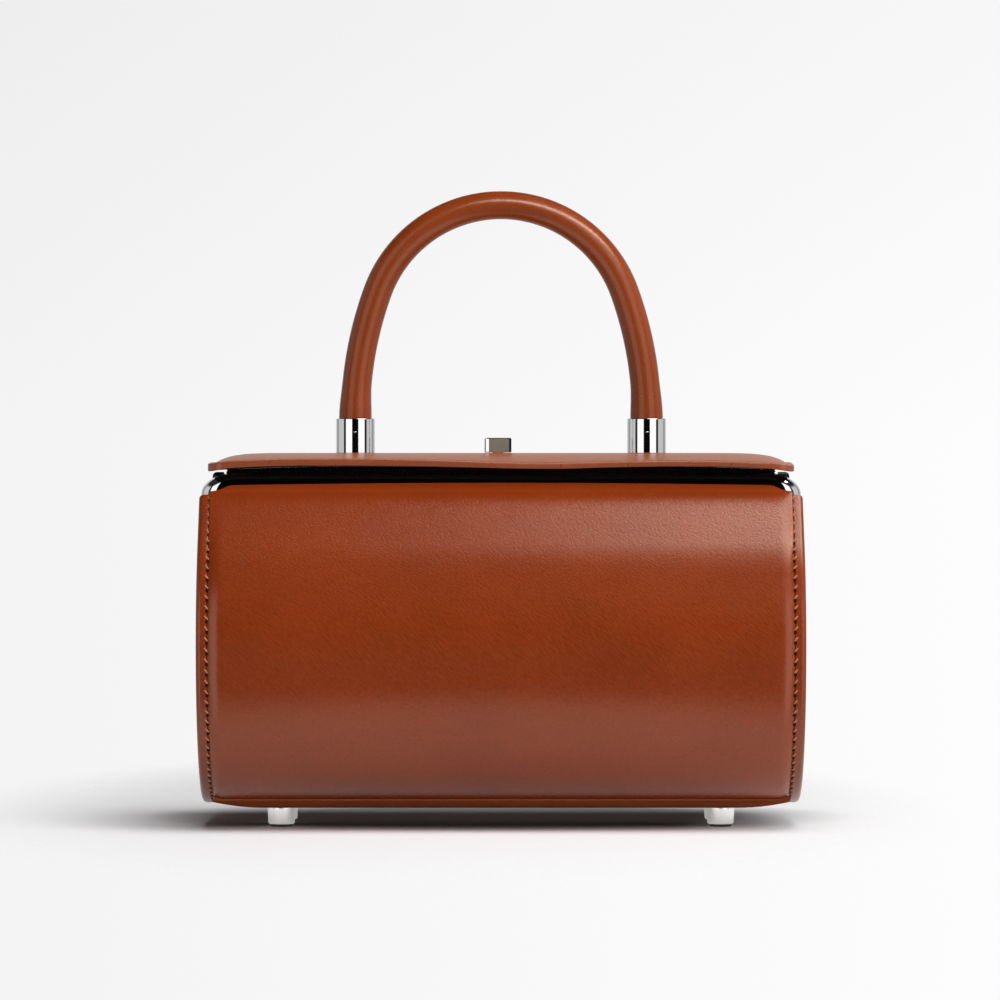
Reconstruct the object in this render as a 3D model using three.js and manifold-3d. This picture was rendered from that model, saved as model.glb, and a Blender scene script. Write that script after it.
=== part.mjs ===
// Structured top-handle handbag.
// Its body is a round barrel on its side: a front and a back leather panel, sewn at each end to a flat
// leather gusset, on a narrow leather base with four metal feet. A bright metal frame rims the mouth. A
// domed leather lid closes it on a barrel hinge, and carries a rolled leather handle on two metal ferrules
// and a lock knob.
// Lengths are millimetres. X runs across the bag, -Y is its front, +Z is up, and the origin lies on the
// floor under the middle of the bag.

import * as THREE from "three";
import { mergeVertices } from "three/addons/utils/BufferGeometryUtils.js";
import Module from "manifold-3d";

const wasm = await Module();
wasm.setup();

// Driving dimensions

const GAP = 0.35; // clearance that is left between neighbouring pieces

// The body's side profile, alike at front and back: a round barrel that leans in straight to the crease.
const BARREL = {
  radius: 60.6,
  centreZ: 67.7,
  leanDeg: 38, // of the straight upper part, from upright
  creaseZ: 123.1,
};

// The front and back panels. Depths are from the bag's middle plane.
const PANEL = {
  thickness: 2.4,
  bottomDeg: 71.8, // the panel runs round to this far below the level of the barrel's middle
  foldZ: 121.2, // where the fold at the crease starts
  topDepth: 28.3, // the edge that meets the mouth frame
  topZ: 126,
  rollWidth: 5, // each end rolls down to its seam over this width
  rollDepth: 1.7,
  rollFullZ: 96, // the roll fades from here up to the fold
  cornerWidth: 6.4, // each top corner is cut away over this width
  cornerCut: 0.5, // by this share of the fold
  barrelSteps: 14,
  leanSteps: 2,
  foldSteps: 5,
  rollSteps: 4,
  flatSteps: 4,
};

// The gussets, each a shallow dish whose rim turns inwards along the ends of the panels.
const GUSSET = {
  halfWidth: 110.2, // of the body, at the gusset's outer corner
  rimEdgeX: 105.9, // the inner edge of the rim
  setback: 1, // the rim lies this far inside the panel's face
  topZ: 122.3,
  thickness: 1.5,
  cornerRadius: 1.7,
  bow: 0.4, // the side stands out this much more in its middle
  cornerSteps: 3,
  barrelSteps: 16,
  leanSteps: 2,
  topSteps: 4,
};

const BASE = {
  halfX: 105.2,
  halfY: 19.8,
  cornerRadius: 7,
  topZ: 9.75,
  bottomZ: 7.1,
  endRise: 2.2, // the underside turns up this far at each end
  endRiseStart: 87,
};

const FOOT = {
  x: 80.8,
  y: 14,
  topRadius: 5,
  bottomRadius: 4.6,
  padRadius: 4.2,
  padHeight: 1.2,
  edge: 0.5,
  sides: 16,
};

// The mouth frame's upper inner edge and lower outer edge, each a rounded rectangle.
const FRAME = {
  mouthHalfX: 99.6,
  mouthHalfY: 26.7,
  mouthRadius: 5,
  footHalfX: 109.4,
  footHalfY: 27.9,
  footRadius: 6.5,
  footZ: 122.7,
  topZ: 129.6,
  thickness: 1.5,
  rows: 5,
};

const LID = {
  halfX: 106.7,
  halfY: 33.8,
  centreY: -4.2,
  cornerRadius: 6,
  thickness: 2.9,
  crestZ: 137.2,
  crestEndDrop: 3.2, // the crest falls this far to each end
  crestEndWidth: 15,
  edgeZ: 135.2, // the top of the front and back edges
  edgeEndDrop: 1.4,
  edgeDropStart: 60,
};

const HINGE = {
  y: 32.1,
  z: 128.6,
  barrelRadius: 2.1,
  holeRadius: 1.25,
  pinRadius: 0.95,
  headRadius: 1.7,
  headLength: 4.4,
  headEndX: 108.4,
  knuckleGap: 0.4,
  bridgeHeight: 1.2,
  leafThickness: 0.75,
  leafFrontY: 17,
  leafHalfX: 70,
  webHalfY: 0.9,
  lipHalfX: 102.8, // a lip on the leaf shuts the space between the lid and the frame
  lipThickness: 0.9,
  lipSteps: 4,
};
const HINGE_KNUCKLES = [
  { owner: "frame", fromX: -103.5, toX: -70 },
  { owner: "lid", fromX: -70, toX: -20 },
  { owner: "frame", fromX: -20, toX: 20 },
  { owner: "lid", fromX: 20, toX: 70 },
  { owner: "frame", fromX: 70, toX: 103.5 },
];

const HANDLE = {
  halfSpan: 53.8,
  springZ: 150.2, // where the arch leaves the ferrules
  apexZ: 229, // of the centreline
  crownRadius: 48.5,
  crownTubeRadius: 5.2,
  legTubeRadius: 5.5,
  endTubeRadius: 6.05,
  flareLength: 14,
  steps: 38,
  sides: 12,
};
const FERRULE = { radius: 7.15, socketRadius: 6.45, socketDepth: 6.2, edge: 0.4 };

const KNOB = {
  x: -1.1,
  width: 9.5,
  depth: 4.6,
  height: 5.5,
  chamfer: 0.9,
  turnedDeg: 8,
  spindleRadius: 2,
  spindleLength: 4,
  holeRadius: 2.4,
};

const ROUND_SIDES = 24;

// Materials

const finish = (color, roughness, metalness = 0) =>
  new THREE.MeshStandardMaterial({ color, roughness, metalness });
const leather = finish(0x963e18, 0.42);
const handleLeather = finish(0x9a441c, 0.4);
const edgeLeather = finish(0x86401f, 0.55);
const brightMetal = finish(0xd9dadb, 0.08, 1);
const satinMetal = finish(0xb9b7b0, 0.25, 1);
const rubber = finish(0x141414, 0.8);

// Geometry helpers

// Turns a closed mesh's faces to point outwards.
function facingOut(points, index) {
  let volume = 0;
  for (let i = 0; i < index.length; i += 3) {
    const [a, b, c] = [points[index[i]], points[index[i + 1]], points[index[i + 2]]];
    volume += a.dot(b.clone().cross(c));
  }
  if (volume < 0) index.reverse();
  return new THREE.BufferGeometry().setFromPoints(points).setIndex(index);
}

// A closed wall between an outer and an inner grid of points, with a rim along every open border.
function wall(outer, inner, isRing = false) {
  const rows = outer.length;
  const columns = outer[0].length;
  const index = [];
  const at = (face, row, column) => (face * rows + row) * columns + (column % columns);
  const quad = (a, b, c, d) => index.push(a, b, c, a, c, d);
  const spans = isRing ? columns : columns - 1;
  const [top, end] = [rows - 1, columns - 1];
  for (let r = 0; r < top; r += 1) {
    for (let c = 0; c < spans; c += 1) {
      quad(at(0, r, c), at(0, r, c + 1), at(0, r + 1, c + 1), at(0, r + 1, c));
      quad(at(1, r, c), at(1, r + 1, c), at(1, r + 1, c + 1), at(1, r, c + 1));
    }
    if (!isRing) {
      quad(at(0, r, 0), at(0, r + 1, 0), at(1, r + 1, 0), at(1, r, 0));
      quad(at(0, r + 1, end), at(0, r, end), at(1, r, end), at(1, r + 1, end));
    }
  }
  for (let c = 0; c < spans; c += 1) {
    quad(at(1, 0, c), at(1, 0, c + 1), at(0, 0, c + 1), at(0, 0, c));
    quad(at(0, top, c), at(0, top, c + 1), at(1, top, c + 1), at(1, top, c));
  }
  return facingOut([...outer.flat(), ...inner.flat()], index);
}

// A closed solid through a stack of closed loops, each with the same number of points.
function stack(loops) {
  const count = loops[0].length;
  const points = loops.flat();
  const index = [];
  for (let r = 0; r < loops.length - 1; r += 1) {
    for (let c = 0; c < count; c += 1) {
      const [a, b] = [r * count + c, r * count + ((c + 1) % count)];
      index.push(a, b, b + count, a, b + count, a + count);
    }
  }
  const cap = (loop, first, flip) => {
    const centre = loop.reduce((sum, p) => sum.add(p), new THREE.Vector3()).divideScalar(count);
    const middle = points.push(centre) - 1;
    for (let c = 0; c < count; c += 1) {
      const edge = [first + c, first + ((c + 1) % count)];
      if (flip) edge.reverse();
      index.push(middle, ...edge);
    }
  };
  cap(loops[0], 0, true);
  cap(loops[loops.length - 1], (loops.length - 1) * count, false);
  return facingOut(points, index);
}

// Points round a rounded rectangle in plan, always the same number of them.
function roundedOutline({ halfX, halfY, radius, centreY = 0, ...steps }) {
  const { cornerSteps, longSteps, shortSteps } = { cornerSteps: 4, longSteps: 14, shortSteps: 6, ...steps };
  const corners = [
    [1, 1],
    [-1, 1],
    [-1, -1],
    [1, -1],
  ];
  const onCorner = (k, share) => {
    const [sx, sy] = corners[k % 4];
    const angle = (Math.PI / 2) * ((k % 4) + share);
    return new THREE.Vector2(
      sx * (halfX - radius) + radius * Math.cos(angle),
      centreY + sy * (halfY - radius) + radius * Math.sin(angle),
    );
  };
  const points = [];
  for (let k = 0; k < 4; k += 1) {
    for (let s = 0; s <= cornerSteps; s += 1) points.push(onCorner(k, s / cornerSteps));
    const sideSteps = k % 2 ? shortSteps : longSteps;
    const [from, to] = [onCorner(k, 1), onCorner(k + 1, 0)];
    for (let s = 1; s < sideSteps; s += 1) points.push(from.clone().lerp(to, s / sideSteps));
  }
  return points;
}

// A rounded rectangle drawn in by an inset, its corners kept a little round.
function insetOutline({ halfX, halfY, cornerRadius, centreY }, inset) {
  const radius = Math.max(cornerRadius - inset, 0.8);
  return roundedOutline({ halfX: halfX - inset, halfY: halfY - inset, radius, centreY });
}

const toSolid = (geometry) => {
  const bare = new THREE.BufferGeometry().setAttribute("position", geometry.getAttribute("position"));
  if (geometry.index) bare.setIndex(geometry.index);
  const merged = mergeVertices(bare, 1e-4);
  return new wasm.Manifold(
    new wasm.Mesh({
      numProp: 3,
      vertProperties: merged.attributes.position.array,
      triVerts: new Uint32Array(merged.index.array),
    }),
  );
};

const toGeometry = (solid) => {
  const { vertProperties, triVerts } = solid.getMesh();
  return new THREE.BufferGeometry()
    .setAttribute("position", new THREE.BufferAttribute(vertProperties, 3))
    .setIndex(new THREE.BufferAttribute(triVerts, 1));
};

const box = ([x0, x1], [y0, y1], [z0, z1]) =>
  new THREE.BoxGeometry(x1 - x0, y1 - y0, z1 - z0).translate((x0 + x1) / 2, (y0 + y1) / 2, (z0 + z1) / 2);

// A round bar along X, on the hinge's axis.
const barOnHinge = (radius, x0, x1, sides = 14) =>
  new THREE.CylinderGeometry(radius, radius, x1 - x0, sides)
    .rotateZ(Math.PI / 2)
    .translate((x0 + x1) / 2, HINGE.y, HINGE.z);

// A turned piece from its half profile, with its axis along Z.
const turned = (profile, sides = ROUND_SIDES) =>
  new THREE.LatheGeometry(
    profile.map(([r, z]) => new THREE.Vector2(r, z)),
    sides,
  ).rotateX(Math.PI / 2);

const { clamp, lerp, smoothstep } = THREE.MathUtils;

// How far a quarter circle has dropped at a share of its width.
const quarterDrop = (share) => 1 - Math.sqrt(1 - clamp(share, 0, 1) ** 2);

// Front and back panels

const lean = THREE.MathUtils.degToRad(BARREL.leanDeg);

// How far the straight upper part of a barrel of some radius stands from the middle plane at a height.
const leaningDepth = (radius, z) => (radius - (z - BARREL.centreZ) * Math.sin(lean)) / Math.cos(lean);

// A barrel's side profile as (depth, z) points, from an angle below its middle up to a height on the lean.
function sideProfile(radius, bottomAngle, topZ, { barrelSteps, leanSteps }) {
  const points = [];
  for (let s = 0; s <= barrelSteps; s += 1) {
    const angle = lerp(-bottomAngle, lean, s / barrelSteps);
    points.push(new THREE.Vector2(radius * Math.cos(angle), BARREL.centreZ + radius * Math.sin(angle)));
  }
  const shoulderZ = points[barrelSteps].y;
  for (let s = 1; s <= leanSteps; s += 1) {
    const z = lerp(shoulderZ, topZ, s / leanSteps);
    points.push(new THREE.Vector2(leaningDepth(radius, z), z));
  }
  return points;
}

const fold = new THREE.QuadraticBezierCurve(
  new THREE.Vector2(leaningDepth(BARREL.radius, PANEL.foldZ), PANEL.foldZ),
  new THREE.Vector2(leaningDepth(BARREL.radius, BARREL.creaseZ), BARREL.creaseZ),
  new THREE.Vector2(PANEL.topDepth, PANEL.topZ),
);
const panelEndX = GUSSET.rimEdgeX - GAP;

// How far across a band along the panel's end a point lies, from 0 at its inner side to 1 at the end.
const intoEnd = (width, x) => Math.max((Math.abs(x) - panelEndX + width) / width, 0);

// The panel's columns across the bag: close together where its ends roll, wide apart between them.
function panelColumns() {
  const flatX = panelEndX - PANEL.cornerWidth;
  const columns = [];
  for (let s = 0; s <= PANEL.flatSteps; s += 1) columns.push(lerp(-flatX, flatX, s / PANEL.flatSteps));
  for (let s = 1; s <= PANEL.rollSteps; s += 1) {
    const x = lerp(flatX, panelEndX, s / PANEL.rollSteps);
    columns.push(x);
    columns.unshift(-x);
  }
  return columns;
}

function panelGeometry() {
  const barrel = sideProfile(BARREL.radius, THREE.MathUtils.degToRad(PANEL.bottomDeg), PANEL.foldZ, PANEL);
  const columns = panelColumns().map((x) => {
    const profile = [...barrel];
    const foldEnd = 1 - PANEL.cornerCut * quarterDrop(intoEnd(PANEL.cornerWidth, x));
    for (let s = 1; s <= PANEL.foldSteps; s += 1) {
      profile.push(fold.getPoint((foldEnd * s) / PANEL.foldSteps));
    }
    const facing = profile.map((p, r) => {
      const before = profile[Math.max(r - 1, 0)];
      const after = profile[Math.min(r + 1, profile.length - 1)];
      const along = after.clone().sub(before).normalize();
      return new THREE.Vector2(along.y, -along.x);
    });
    const layer = (depthIn) =>
      profile.map((p, r) => {
        const fade = 1 - smoothstep(p.y, PANEL.rollFullZ, PANEL.foldZ);
        const roll = PANEL.rollDepth * fade * intoEnd(PANEL.rollWidth, x) ** 2;
        const at = p.clone().addScaledVector(facing[r], -roll - depthIn);
        const leastDepth = p.y > PANEL.foldZ ? PANEL.topDepth : 0;
        return new THREE.Vector3(x, -Math.max(at.x, leastDepth), at.y);
      });
    return { outer: layer(0), inner: layer(PANEL.thickness) };
  });
  return wall(
    columns.map((column) => column.outer),
    columns.map((column) => column.inner),
  );
}

// Gussets

// The dish's outline seen from the side, drawn in by an inset, as a closed loop at one distance along X.
function gussetLoop(x, inset) {
  const topZ = GUSSET.topZ - inset;
  const back = sideProfile(BARREL.radius - GUSSET.setback - inset, Math.PI / 2, topZ, GUSSET);
  const topDepth = back[back.length - 1].x;
  const top = [];
  for (let s = 1; s < GUSSET.topSteps; s += 1) {
    top.push(new THREE.Vector2(lerp(topDepth, -topDepth, s / GUSSET.topSteps), topZ));
  }
  const front = back.slice(1).map((p) => new THREE.Vector2(-p.x, p.y));
  return [...back, ...top, ...front.reverse()].map((p) => new THREE.Vector3(x, p.x, p.y));
}

// The insets at which the bowed side is drawn, from its corner to near its middle.
const SIDE_INSETS = [8, 20, 34];

function gussetGeometry() {
  const { halfWidth, rimEdgeX, thickness, cornerRadius, bow, cornerSteps } = GUSSET;
  const bowed = (inset) => bow * (1 - (1 - inset / BARREL.radius) ** 2);
  const outside = [gussetLoop(rimEdgeX, 0)];
  for (let s = 0; s <= cornerSteps; s += 1) {
    const angle = (Math.PI / 2) * (s / cornerSteps);
    const x = halfWidth - cornerRadius * (1 - Math.sin(angle));
    outside.push(gussetLoop(x, cornerRadius * (1 - Math.cos(angle))));
  }
  outside.push(...SIDE_INSETS.map((inset) => gussetLoop(halfWidth + bowed(inset), inset)));
  const innerX = halfWidth - thickness;
  const inside = [gussetLoop(rimEdgeX - thickness, thickness), gussetLoop(innerX, thickness)];
  inside.push(...SIDE_INSETS.map((inset) => gussetLoop(innerX + bowed(inset), inset)));
  return toGeometry(toSolid(stack(outside)).subtract(toSolid(stack(inside))));
}

// Base and feet

// The base from the middle of its top face, round its edge, to the middle of its underside.
const BASE_RINGS = [
  { inset: 17, share: 1 },
  { inset: 1.1, share: 1 },
  { inset: 0.3, share: 0.8 },
  { inset: 0, share: 0.5 },
  { inset: 0.3, share: 0.2 },
  { inset: 1.2, share: 0 },
  { inset: 8, share: 0 },
  { inset: 17, share: 0 },
];

function baseGeometry() {
  const underside = (x) => {
    const share = clamp((Math.abs(x) - BASE.endRiseStart) / (BASE.halfX - BASE.endRiseStart), 0, 1);
    return BASE.bottomZ + BASE.endRise * share ** 2;
  };
  const rise = (p, share) => new THREE.Vector3(p.x, p.y, lerp(underside(p.x), BASE.topZ, share));
  return stack(BASE_RINGS.map(({ inset, share }) => insetOutline(BASE, inset).map((p) => rise(p, share))));
}

const footTopZ = BASE.bottomZ - GAP;
const footBottomZ = FOOT.padHeight + GAP;
const footGeometry = turned([
  [0, footBottomZ],
  [FOOT.bottomRadius - FOOT.edge, footBottomZ],
  [FOOT.bottomRadius, footBottomZ + FOOT.edge],
  [FOOT.topRadius, footTopZ - FOOT.edge],
  [FOOT.topRadius - FOOT.edge / 2, footTopZ],
  [0, footTopZ],
], FOOT.sides);
const padGeometry = turned([
  [0, 0],
  [FOOT.padRadius - FOOT.edge, 0],
  [FOOT.padRadius, FOOT.edge],
  [FOOT.padRadius, FOOT.padHeight],
  [0, FOOT.padHeight],
], FOOT.sides);

// Mouth frame and hinge

// The frame's curved band without its hinge: a quarter ellipse swept from the foot line to the mouth line.
function frameBand() {
  const loop = (name, inset) =>
    roundedOutline({
      halfX: FRAME[`${name}HalfX`] - inset,
      halfY: FRAME[`${name}HalfY`] - inset,
      radius: FRAME[`${name}Radius`] - inset / 2,
      cornerSteps: 6,
      longSteps: 10,
      shortSteps: 6,
    });
  const surface = (inset) => {
    const [mouth, foot] = [loop("mouth", inset), loop("foot", inset)];
    const rows = [];
    for (let r = 0; r <= FRAME.rows; r += 1) {
      const angle = (Math.PI / 2) * (r / FRAME.rows);
      const z = lerp(FRAME.footZ, FRAME.topZ - inset * 0.8, Math.sin(angle));
      rows.push(
        mouth.map((m, i) => {
          const p = m.clone().lerp(foot[i], Math.cos(angle));
          return new THREE.Vector3(p.x, p.y, z);
        }),
      );
    }
    return rows;
  };
  return wall(surface(0), surface(FRAME.thickness), true);
}

// The barrels of one owner's knuckles, each with the pieces that join it to that owner.
function knuckleSolids(owner, joiner) {
  return HINGE_KNUCKLES.filter((knuckle) => knuckle.owner === owner).flatMap(({ fromX, toX }) => {
    const [x0, x1] = [fromX + HINGE.knuckleGap / 2, toX - HINGE.knuckleGap / 2];
    return [toSolid(barOnHinge(HINGE.barrelRadius, x0, x1)), ...joiner(x0, x1).map(toSolid)];
  });
}

const pinHole = toSolid(barOnHinge(HINGE.holeRadius, -FRAME.footHalfX, FRAME.footHalfX));
const joined = (solids) => solids.reduce((whole, solid) => whole.add(solid));

function frameGeometry() {
  const bridge = (x0, x1) => [
    box([x0, x1], [FRAME.mouthHalfY, HINGE.y], [HINGE.z - HINGE.bridgeHeight, HINGE.z]),
  ];
  const knuckles = joined(knuckleSolids("frame", bridge)).subtract(pinHole);
  return toGeometry(toSolid(frameBand()).add(knuckles));
}

// The leaf's lip: an upright strip in front of the knuckles that follows the underside of the lid.
function leafLip(backY) {
  const loop = (x) => {
    const foot = HINGE.z + GAP;
    const top = lidTop(x, LID.centreY + LID.halfY) - LID.thickness - GAP;
    const frontY = backY - HINGE.lipThickness;
    const corners = [
      [frontY, foot],
      [backY, foot],
      [backY, top],
      [frontY, top],
    ];
    return corners.map(([y, z]) => new THREE.Vector3(x, y, z));
  };
  const loops = [];
  for (let s = 0; s <= HINGE.lipSteps; s += 1) {
    const x = lerp(LID.edgeDropStart, HINGE.lipHalfX, s / HINGE.lipSteps);
    loops.push(loop(x));
    loops.unshift(loop(-x));
  }
  return stack(loops);
}

function leafGeometry() {
  const leafTop = LID.edgeZ - LID.thickness - 1.3 * GAP;
  const leafZ = [leafTop - HINGE.leafThickness, leafTop];
  const leafBackY = HINGE.y - HINGE.barrelRadius - GAP;
  const leaf = box([-HINGE.leafHalfX, HINGE.leafHalfX], [HINGE.leafFrontY, leafBackY], leafZ);
  const webTop = HINGE.y + HINGE.webHalfY;
  const web = (x0, x1) => [
    box([x0, x1], [HINGE.y - HINGE.webHalfY, webTop], [HINGE.z, leafTop]),
    box([x0, x1], [HINGE.leafFrontY, webTop], leafZ),
  ];
  const plate = toSolid(leaf).add(toSolid(leafLip(leafBackY)));
  return toGeometry(joined([plate, ...knuckleSolids("lid", web)]).subtract(pinHole));
}

// The pin, with a domed head at each end.
function pinGeometry() {
  const { headRadius, headEndX, headLength, pinRadius } = HINGE;
  const neckX = headEndX - headLength;
  const half = [
    [pinRadius, neckX],
    [headRadius, neckX],
    [headRadius, headEndX - headRadius * 0.6],
    [headRadius * 0.75, headEndX - headRadius * 0.2],
    [0, headEndX],
  ];
  const mirrored = half.map(([r, x]) => [r, -x]).reverse();
  return turned([...mirrored, ...half], 12).rotateY(Math.PI / 2).translate(0, HINGE.y, HINGE.z);
}

// Lid

// The lid's top face: an arch from the front edge to the back edge, falling away at both ends.
function lidTop(x, y) {
  const fromEnd = clamp((LID.halfX - Math.abs(x)) / LID.crestEndWidth, 0, 1);
  const crest = LID.crestZ - LID.crestEndDrop * (1 - Math.sin((Math.PI / 2) * fromEnd));
  const toEnd = clamp((Math.abs(x) - LID.edgeDropStart) / (LID.halfX - LID.edgeDropStart), 0, 1);
  const edge = LID.edgeZ - LID.edgeEndDrop * toEnd ** 2;
  return lerp(crest, edge, ((y - LID.centreY) / LID.halfY) ** 2);
}

// The lid from the middle of its underside, round its edge, to the middle of its top.
const LID_RINGS = [
  { inset: 31, share: 0 },
  { inset: 16, share: 0 },
  { inset: 8, share: 0 },
  { inset: 1.1, share: 0 },
  { inset: 0.3, share: 0.12 },
  { inset: 0, share: 0.35 },
  { inset: 0, share: 0.65 },
  { inset: 0.3, share: 0.88 },
  { inset: 1.1, share: 1 },
  { inset: 4, share: 1 },
  { inset: 8, share: 1 },
  { inset: 14, share: 1 },
  { inset: 22, share: 1 },
  { inset: 31, share: 1 },
];

function lidGeometry() {
  const plate = stack(
    LID_RINGS.map(({ inset, share }) =>
      insetOutline(LID, inset).map(
        (p) => new THREE.Vector3(p.x, p.y, lidTop(p.x, p.y) - LID.thickness * (1 - share)),
      ),
    ),
  );
  const spindleHole = new THREE.CylinderGeometry(KNOB.holeRadius, KNOB.holeRadius, 4 * LID.thickness, 16)
    .rotateX(Math.PI / 2)
    .translate(KNOB.x, LID.centreY, LID.crestZ);
  return toGeometry(toSolid(plate).subtract(toSolid(spindleHole)));
}

// Handle

// The arch's centreline: a crown arc that runs tangent into a flatter arc down each leg. The two arcs
// meet where the leg's arc can both reach the crown and stand upright on its ferrule.
function handleCentreline() {
  const { halfSpan, springZ, apexZ, crownRadius } = HANDLE;
  const rise = apexZ - springZ;
  const half = 2 * Math.atan((rise - crownRadius) / (halfSpan - crownRadius)) - Math.PI / 2;
  const legRadius = crownRadius + (rise - crownRadius) / Math.cos(half);
  const legCentreX = halfSpan - legRadius;
  const path = new THREE.CurvePath();
  const arc = (x, z, radius, from, to) => {
    path.add(new THREE.EllipseCurve(x, z, radius, radius, from, to, true));
  };
  const socketZ = springZ - FERRULE.socketDepth + GAP;
  path.add(new THREE.LineCurve(new THREE.Vector2(-halfSpan, socketZ), new THREE.Vector2(-halfSpan, springZ)));
  arc(-legCentreX, springZ, legRadius, Math.PI, Math.PI / 2 + half);
  arc(0, apexZ - crownRadius, crownRadius, Math.PI / 2 + half, Math.PI / 2 - half);
  arc(legCentreX, springZ, legRadius, Math.PI / 2 - half, 0);
  path.add(new THREE.LineCurve(new THREE.Vector2(halfSpan, springZ), new THREE.Vector2(halfSpan, socketZ)));
  return path;
}

// The handle's radius at a distance along the arch from its nearer end.
function tubeRadius(fromEnd, halfLength) {
  const body = lerp(HANDLE.legTubeRadius, HANDLE.crownTubeRadius, clamp(fromEnd / halfLength, 0, 1));
  const flareEnd = FERRULE.socketDepth + HANDLE.flareLength;
  return lerp(HANDLE.endTubeRadius, body, smoothstep(fromEnd, FERRULE.socketDepth, flareEnd));
}

function handleGeometry() {
  const path = handleCentreline();
  const length = path.getLength();
  const loops = [];
  for (let s = 0; s <= HANDLE.steps; s += 1) {
    const share = s / HANDLE.steps;
    const [centre, along] = [path.getPointAt(share), path.getTangentAt(share)];
    const radius = tubeRadius(Math.min(share, 1 - share) * length, length / 2);
    const loop = [];
    for (let k = 0; k < HANDLE.sides; k += 1) {
      const angle = (2 * Math.PI * (k + 0.5)) / HANDLE.sides;
      const across = radius * Math.cos(angle);
      const [x, z] = [centre.x - across * along.y, centre.y + across * along.x];
      loop.push(new THREE.Vector3(x, LID.centreY + radius * Math.sin(angle), z));
    }
    loops.push(loop);
  }
  return stack(loops);
}

const ferruleBottomZ = LID.crestZ + GAP;
const ferruleFloorZ = HANDLE.springZ - FERRULE.socketDepth;
const ferruleGeometry = turned([
  [0, ferruleBottomZ],
  [FERRULE.radius - FERRULE.edge, ferruleBottomZ],
  [FERRULE.radius, ferruleBottomZ + FERRULE.edge],
  [FERRULE.radius, HANDLE.springZ - FERRULE.edge],
  [FERRULE.radius - FERRULE.edge, HANDLE.springZ],
  [FERRULE.socketRadius, HANDLE.springZ],
  [FERRULE.socketRadius, ferruleFloorZ],
  [0, ferruleFloorZ],
]);

// Lock knob

// A chamfered block on a round spindle, about its own turning axis.
function knobGeometry() {
  const rings = [
    { z: 0, inset: KNOB.chamfer / 2 },
    { z: KNOB.chamfer / 2, inset: 0 },
    { z: KNOB.height - KNOB.chamfer, inset: 0 },
    { z: KNOB.height, inset: KNOB.chamfer },
  ];
  const block = stack(
    rings.map(({ z, inset }) =>
      roundedOutline({
        halfX: KNOB.width / 2 - inset,
        halfY: KNOB.depth / 2 - inset,
        radius: KNOB.chamfer - inset / 2,
        cornerSteps: 1,
        longSteps: 2,
        shortSteps: 2,
      }).map((p) => new THREE.Vector3(p.x, p.y, z)),
    ),
  );
  const { spindleRadius, spindleLength } = KNOB;
  const spindle = new THREE.CylinderGeometry(spindleRadius, spindleRadius, spindleLength + 1, 14)
    .rotateX(Math.PI / 2)
    .translate(0, 0, (1 - spindleLength) / 2);
  return toGeometry(toSolid(block).add(toSolid(spindle)));
}

// Assembly

const piece = (name, geometry, material) => {
  const mesh = new THREE.Mesh(geometry, material);
  mesh.name = name;
  return mesh;
};

const body = new THREE.Group();
const panel = panelGeometry();
const gusset = gussetGeometry();
body.add(piece("front_panel", panel, leather));
const backPanel = piece("back_panel", panel, leather);
backPanel.rotation.z = Math.PI;
body.add(backPanel);
body.add(piece("gusset_right", gusset, leather));
const gussetLeft = piece("gusset_left", gusset, leather);
gussetLeft.rotation.z = Math.PI;
body.add(gussetLeft);
body.add(piece("base_panel", baseGeometry(), edgeLeather));
body.add(piece("mouth_frame", frameGeometry(), brightMetal));
body.add(piece("hinge_pin", pinGeometry(), brightMetal));
for (const [endName, sideY] of [
  ["front", -1],
  ["back", 1],
]) {
  for (const [sideName, sideX] of [
    ["left", -1],
    ["right", 1],
  ]) {
    const foot = new THREE.Group();
    foot.position.set(sideX * FOOT.x, sideY * FOOT.y, 0);
    foot.add(piece(`foot_${endName}_${sideName}`, footGeometry, satinMetal));
    foot.add(piece(`foot_pad_${endName}_${sideName}`, padGeometry, rubber));
    body.add(foot);
  }
}

const lid = new THREE.Group();
lid.add(piece("lid", lidGeometry(), leather));
lid.add(piece("hinge_leaf", leafGeometry(), brightMetal));
lid.add(piece("handle_grip", handleGeometry(), handleLeather));
for (const [sideName, sideX] of [
  ["left", -1],
  ["right", 1],
]) {
  const ferrule = piece(`ferrule_${sideName}`, ferruleGeometry, brightMetal);
  ferrule.position.set(sideX * HANDLE.halfSpan, LID.centreY, 0);
  lid.add(ferrule);
}
const knob = piece("lock_knob", knobGeometry(), satinMetal);
knob.position.set(KNOB.x, LID.centreY, LID.crestZ + GAP);
knob.rotation.z = THREE.MathUtils.degToRad(KNOB.turnedDeg);
lid.add(knob);

const handbag = new THREE.Group();
handbag.add(body, lid);

export default handbag;
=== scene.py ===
import math

import bmesh
import bpy
import numpy as np
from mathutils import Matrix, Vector


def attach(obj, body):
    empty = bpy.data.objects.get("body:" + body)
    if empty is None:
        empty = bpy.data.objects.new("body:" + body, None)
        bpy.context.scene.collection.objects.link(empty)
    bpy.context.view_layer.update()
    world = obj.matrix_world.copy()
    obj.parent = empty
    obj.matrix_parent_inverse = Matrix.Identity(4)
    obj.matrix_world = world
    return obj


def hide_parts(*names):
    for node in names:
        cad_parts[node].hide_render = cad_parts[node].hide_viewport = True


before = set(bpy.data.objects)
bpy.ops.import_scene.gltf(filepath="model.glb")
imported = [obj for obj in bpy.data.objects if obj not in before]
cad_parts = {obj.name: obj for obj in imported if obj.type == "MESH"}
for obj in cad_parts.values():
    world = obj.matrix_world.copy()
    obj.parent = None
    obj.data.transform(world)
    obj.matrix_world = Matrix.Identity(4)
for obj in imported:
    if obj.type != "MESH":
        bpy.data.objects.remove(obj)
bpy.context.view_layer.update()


# Base
# The base is a narrow stiff board wrapped in leather. Both panels are sewn down to its long edges, and its
# ends turn up a little towards the gussets.

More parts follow.
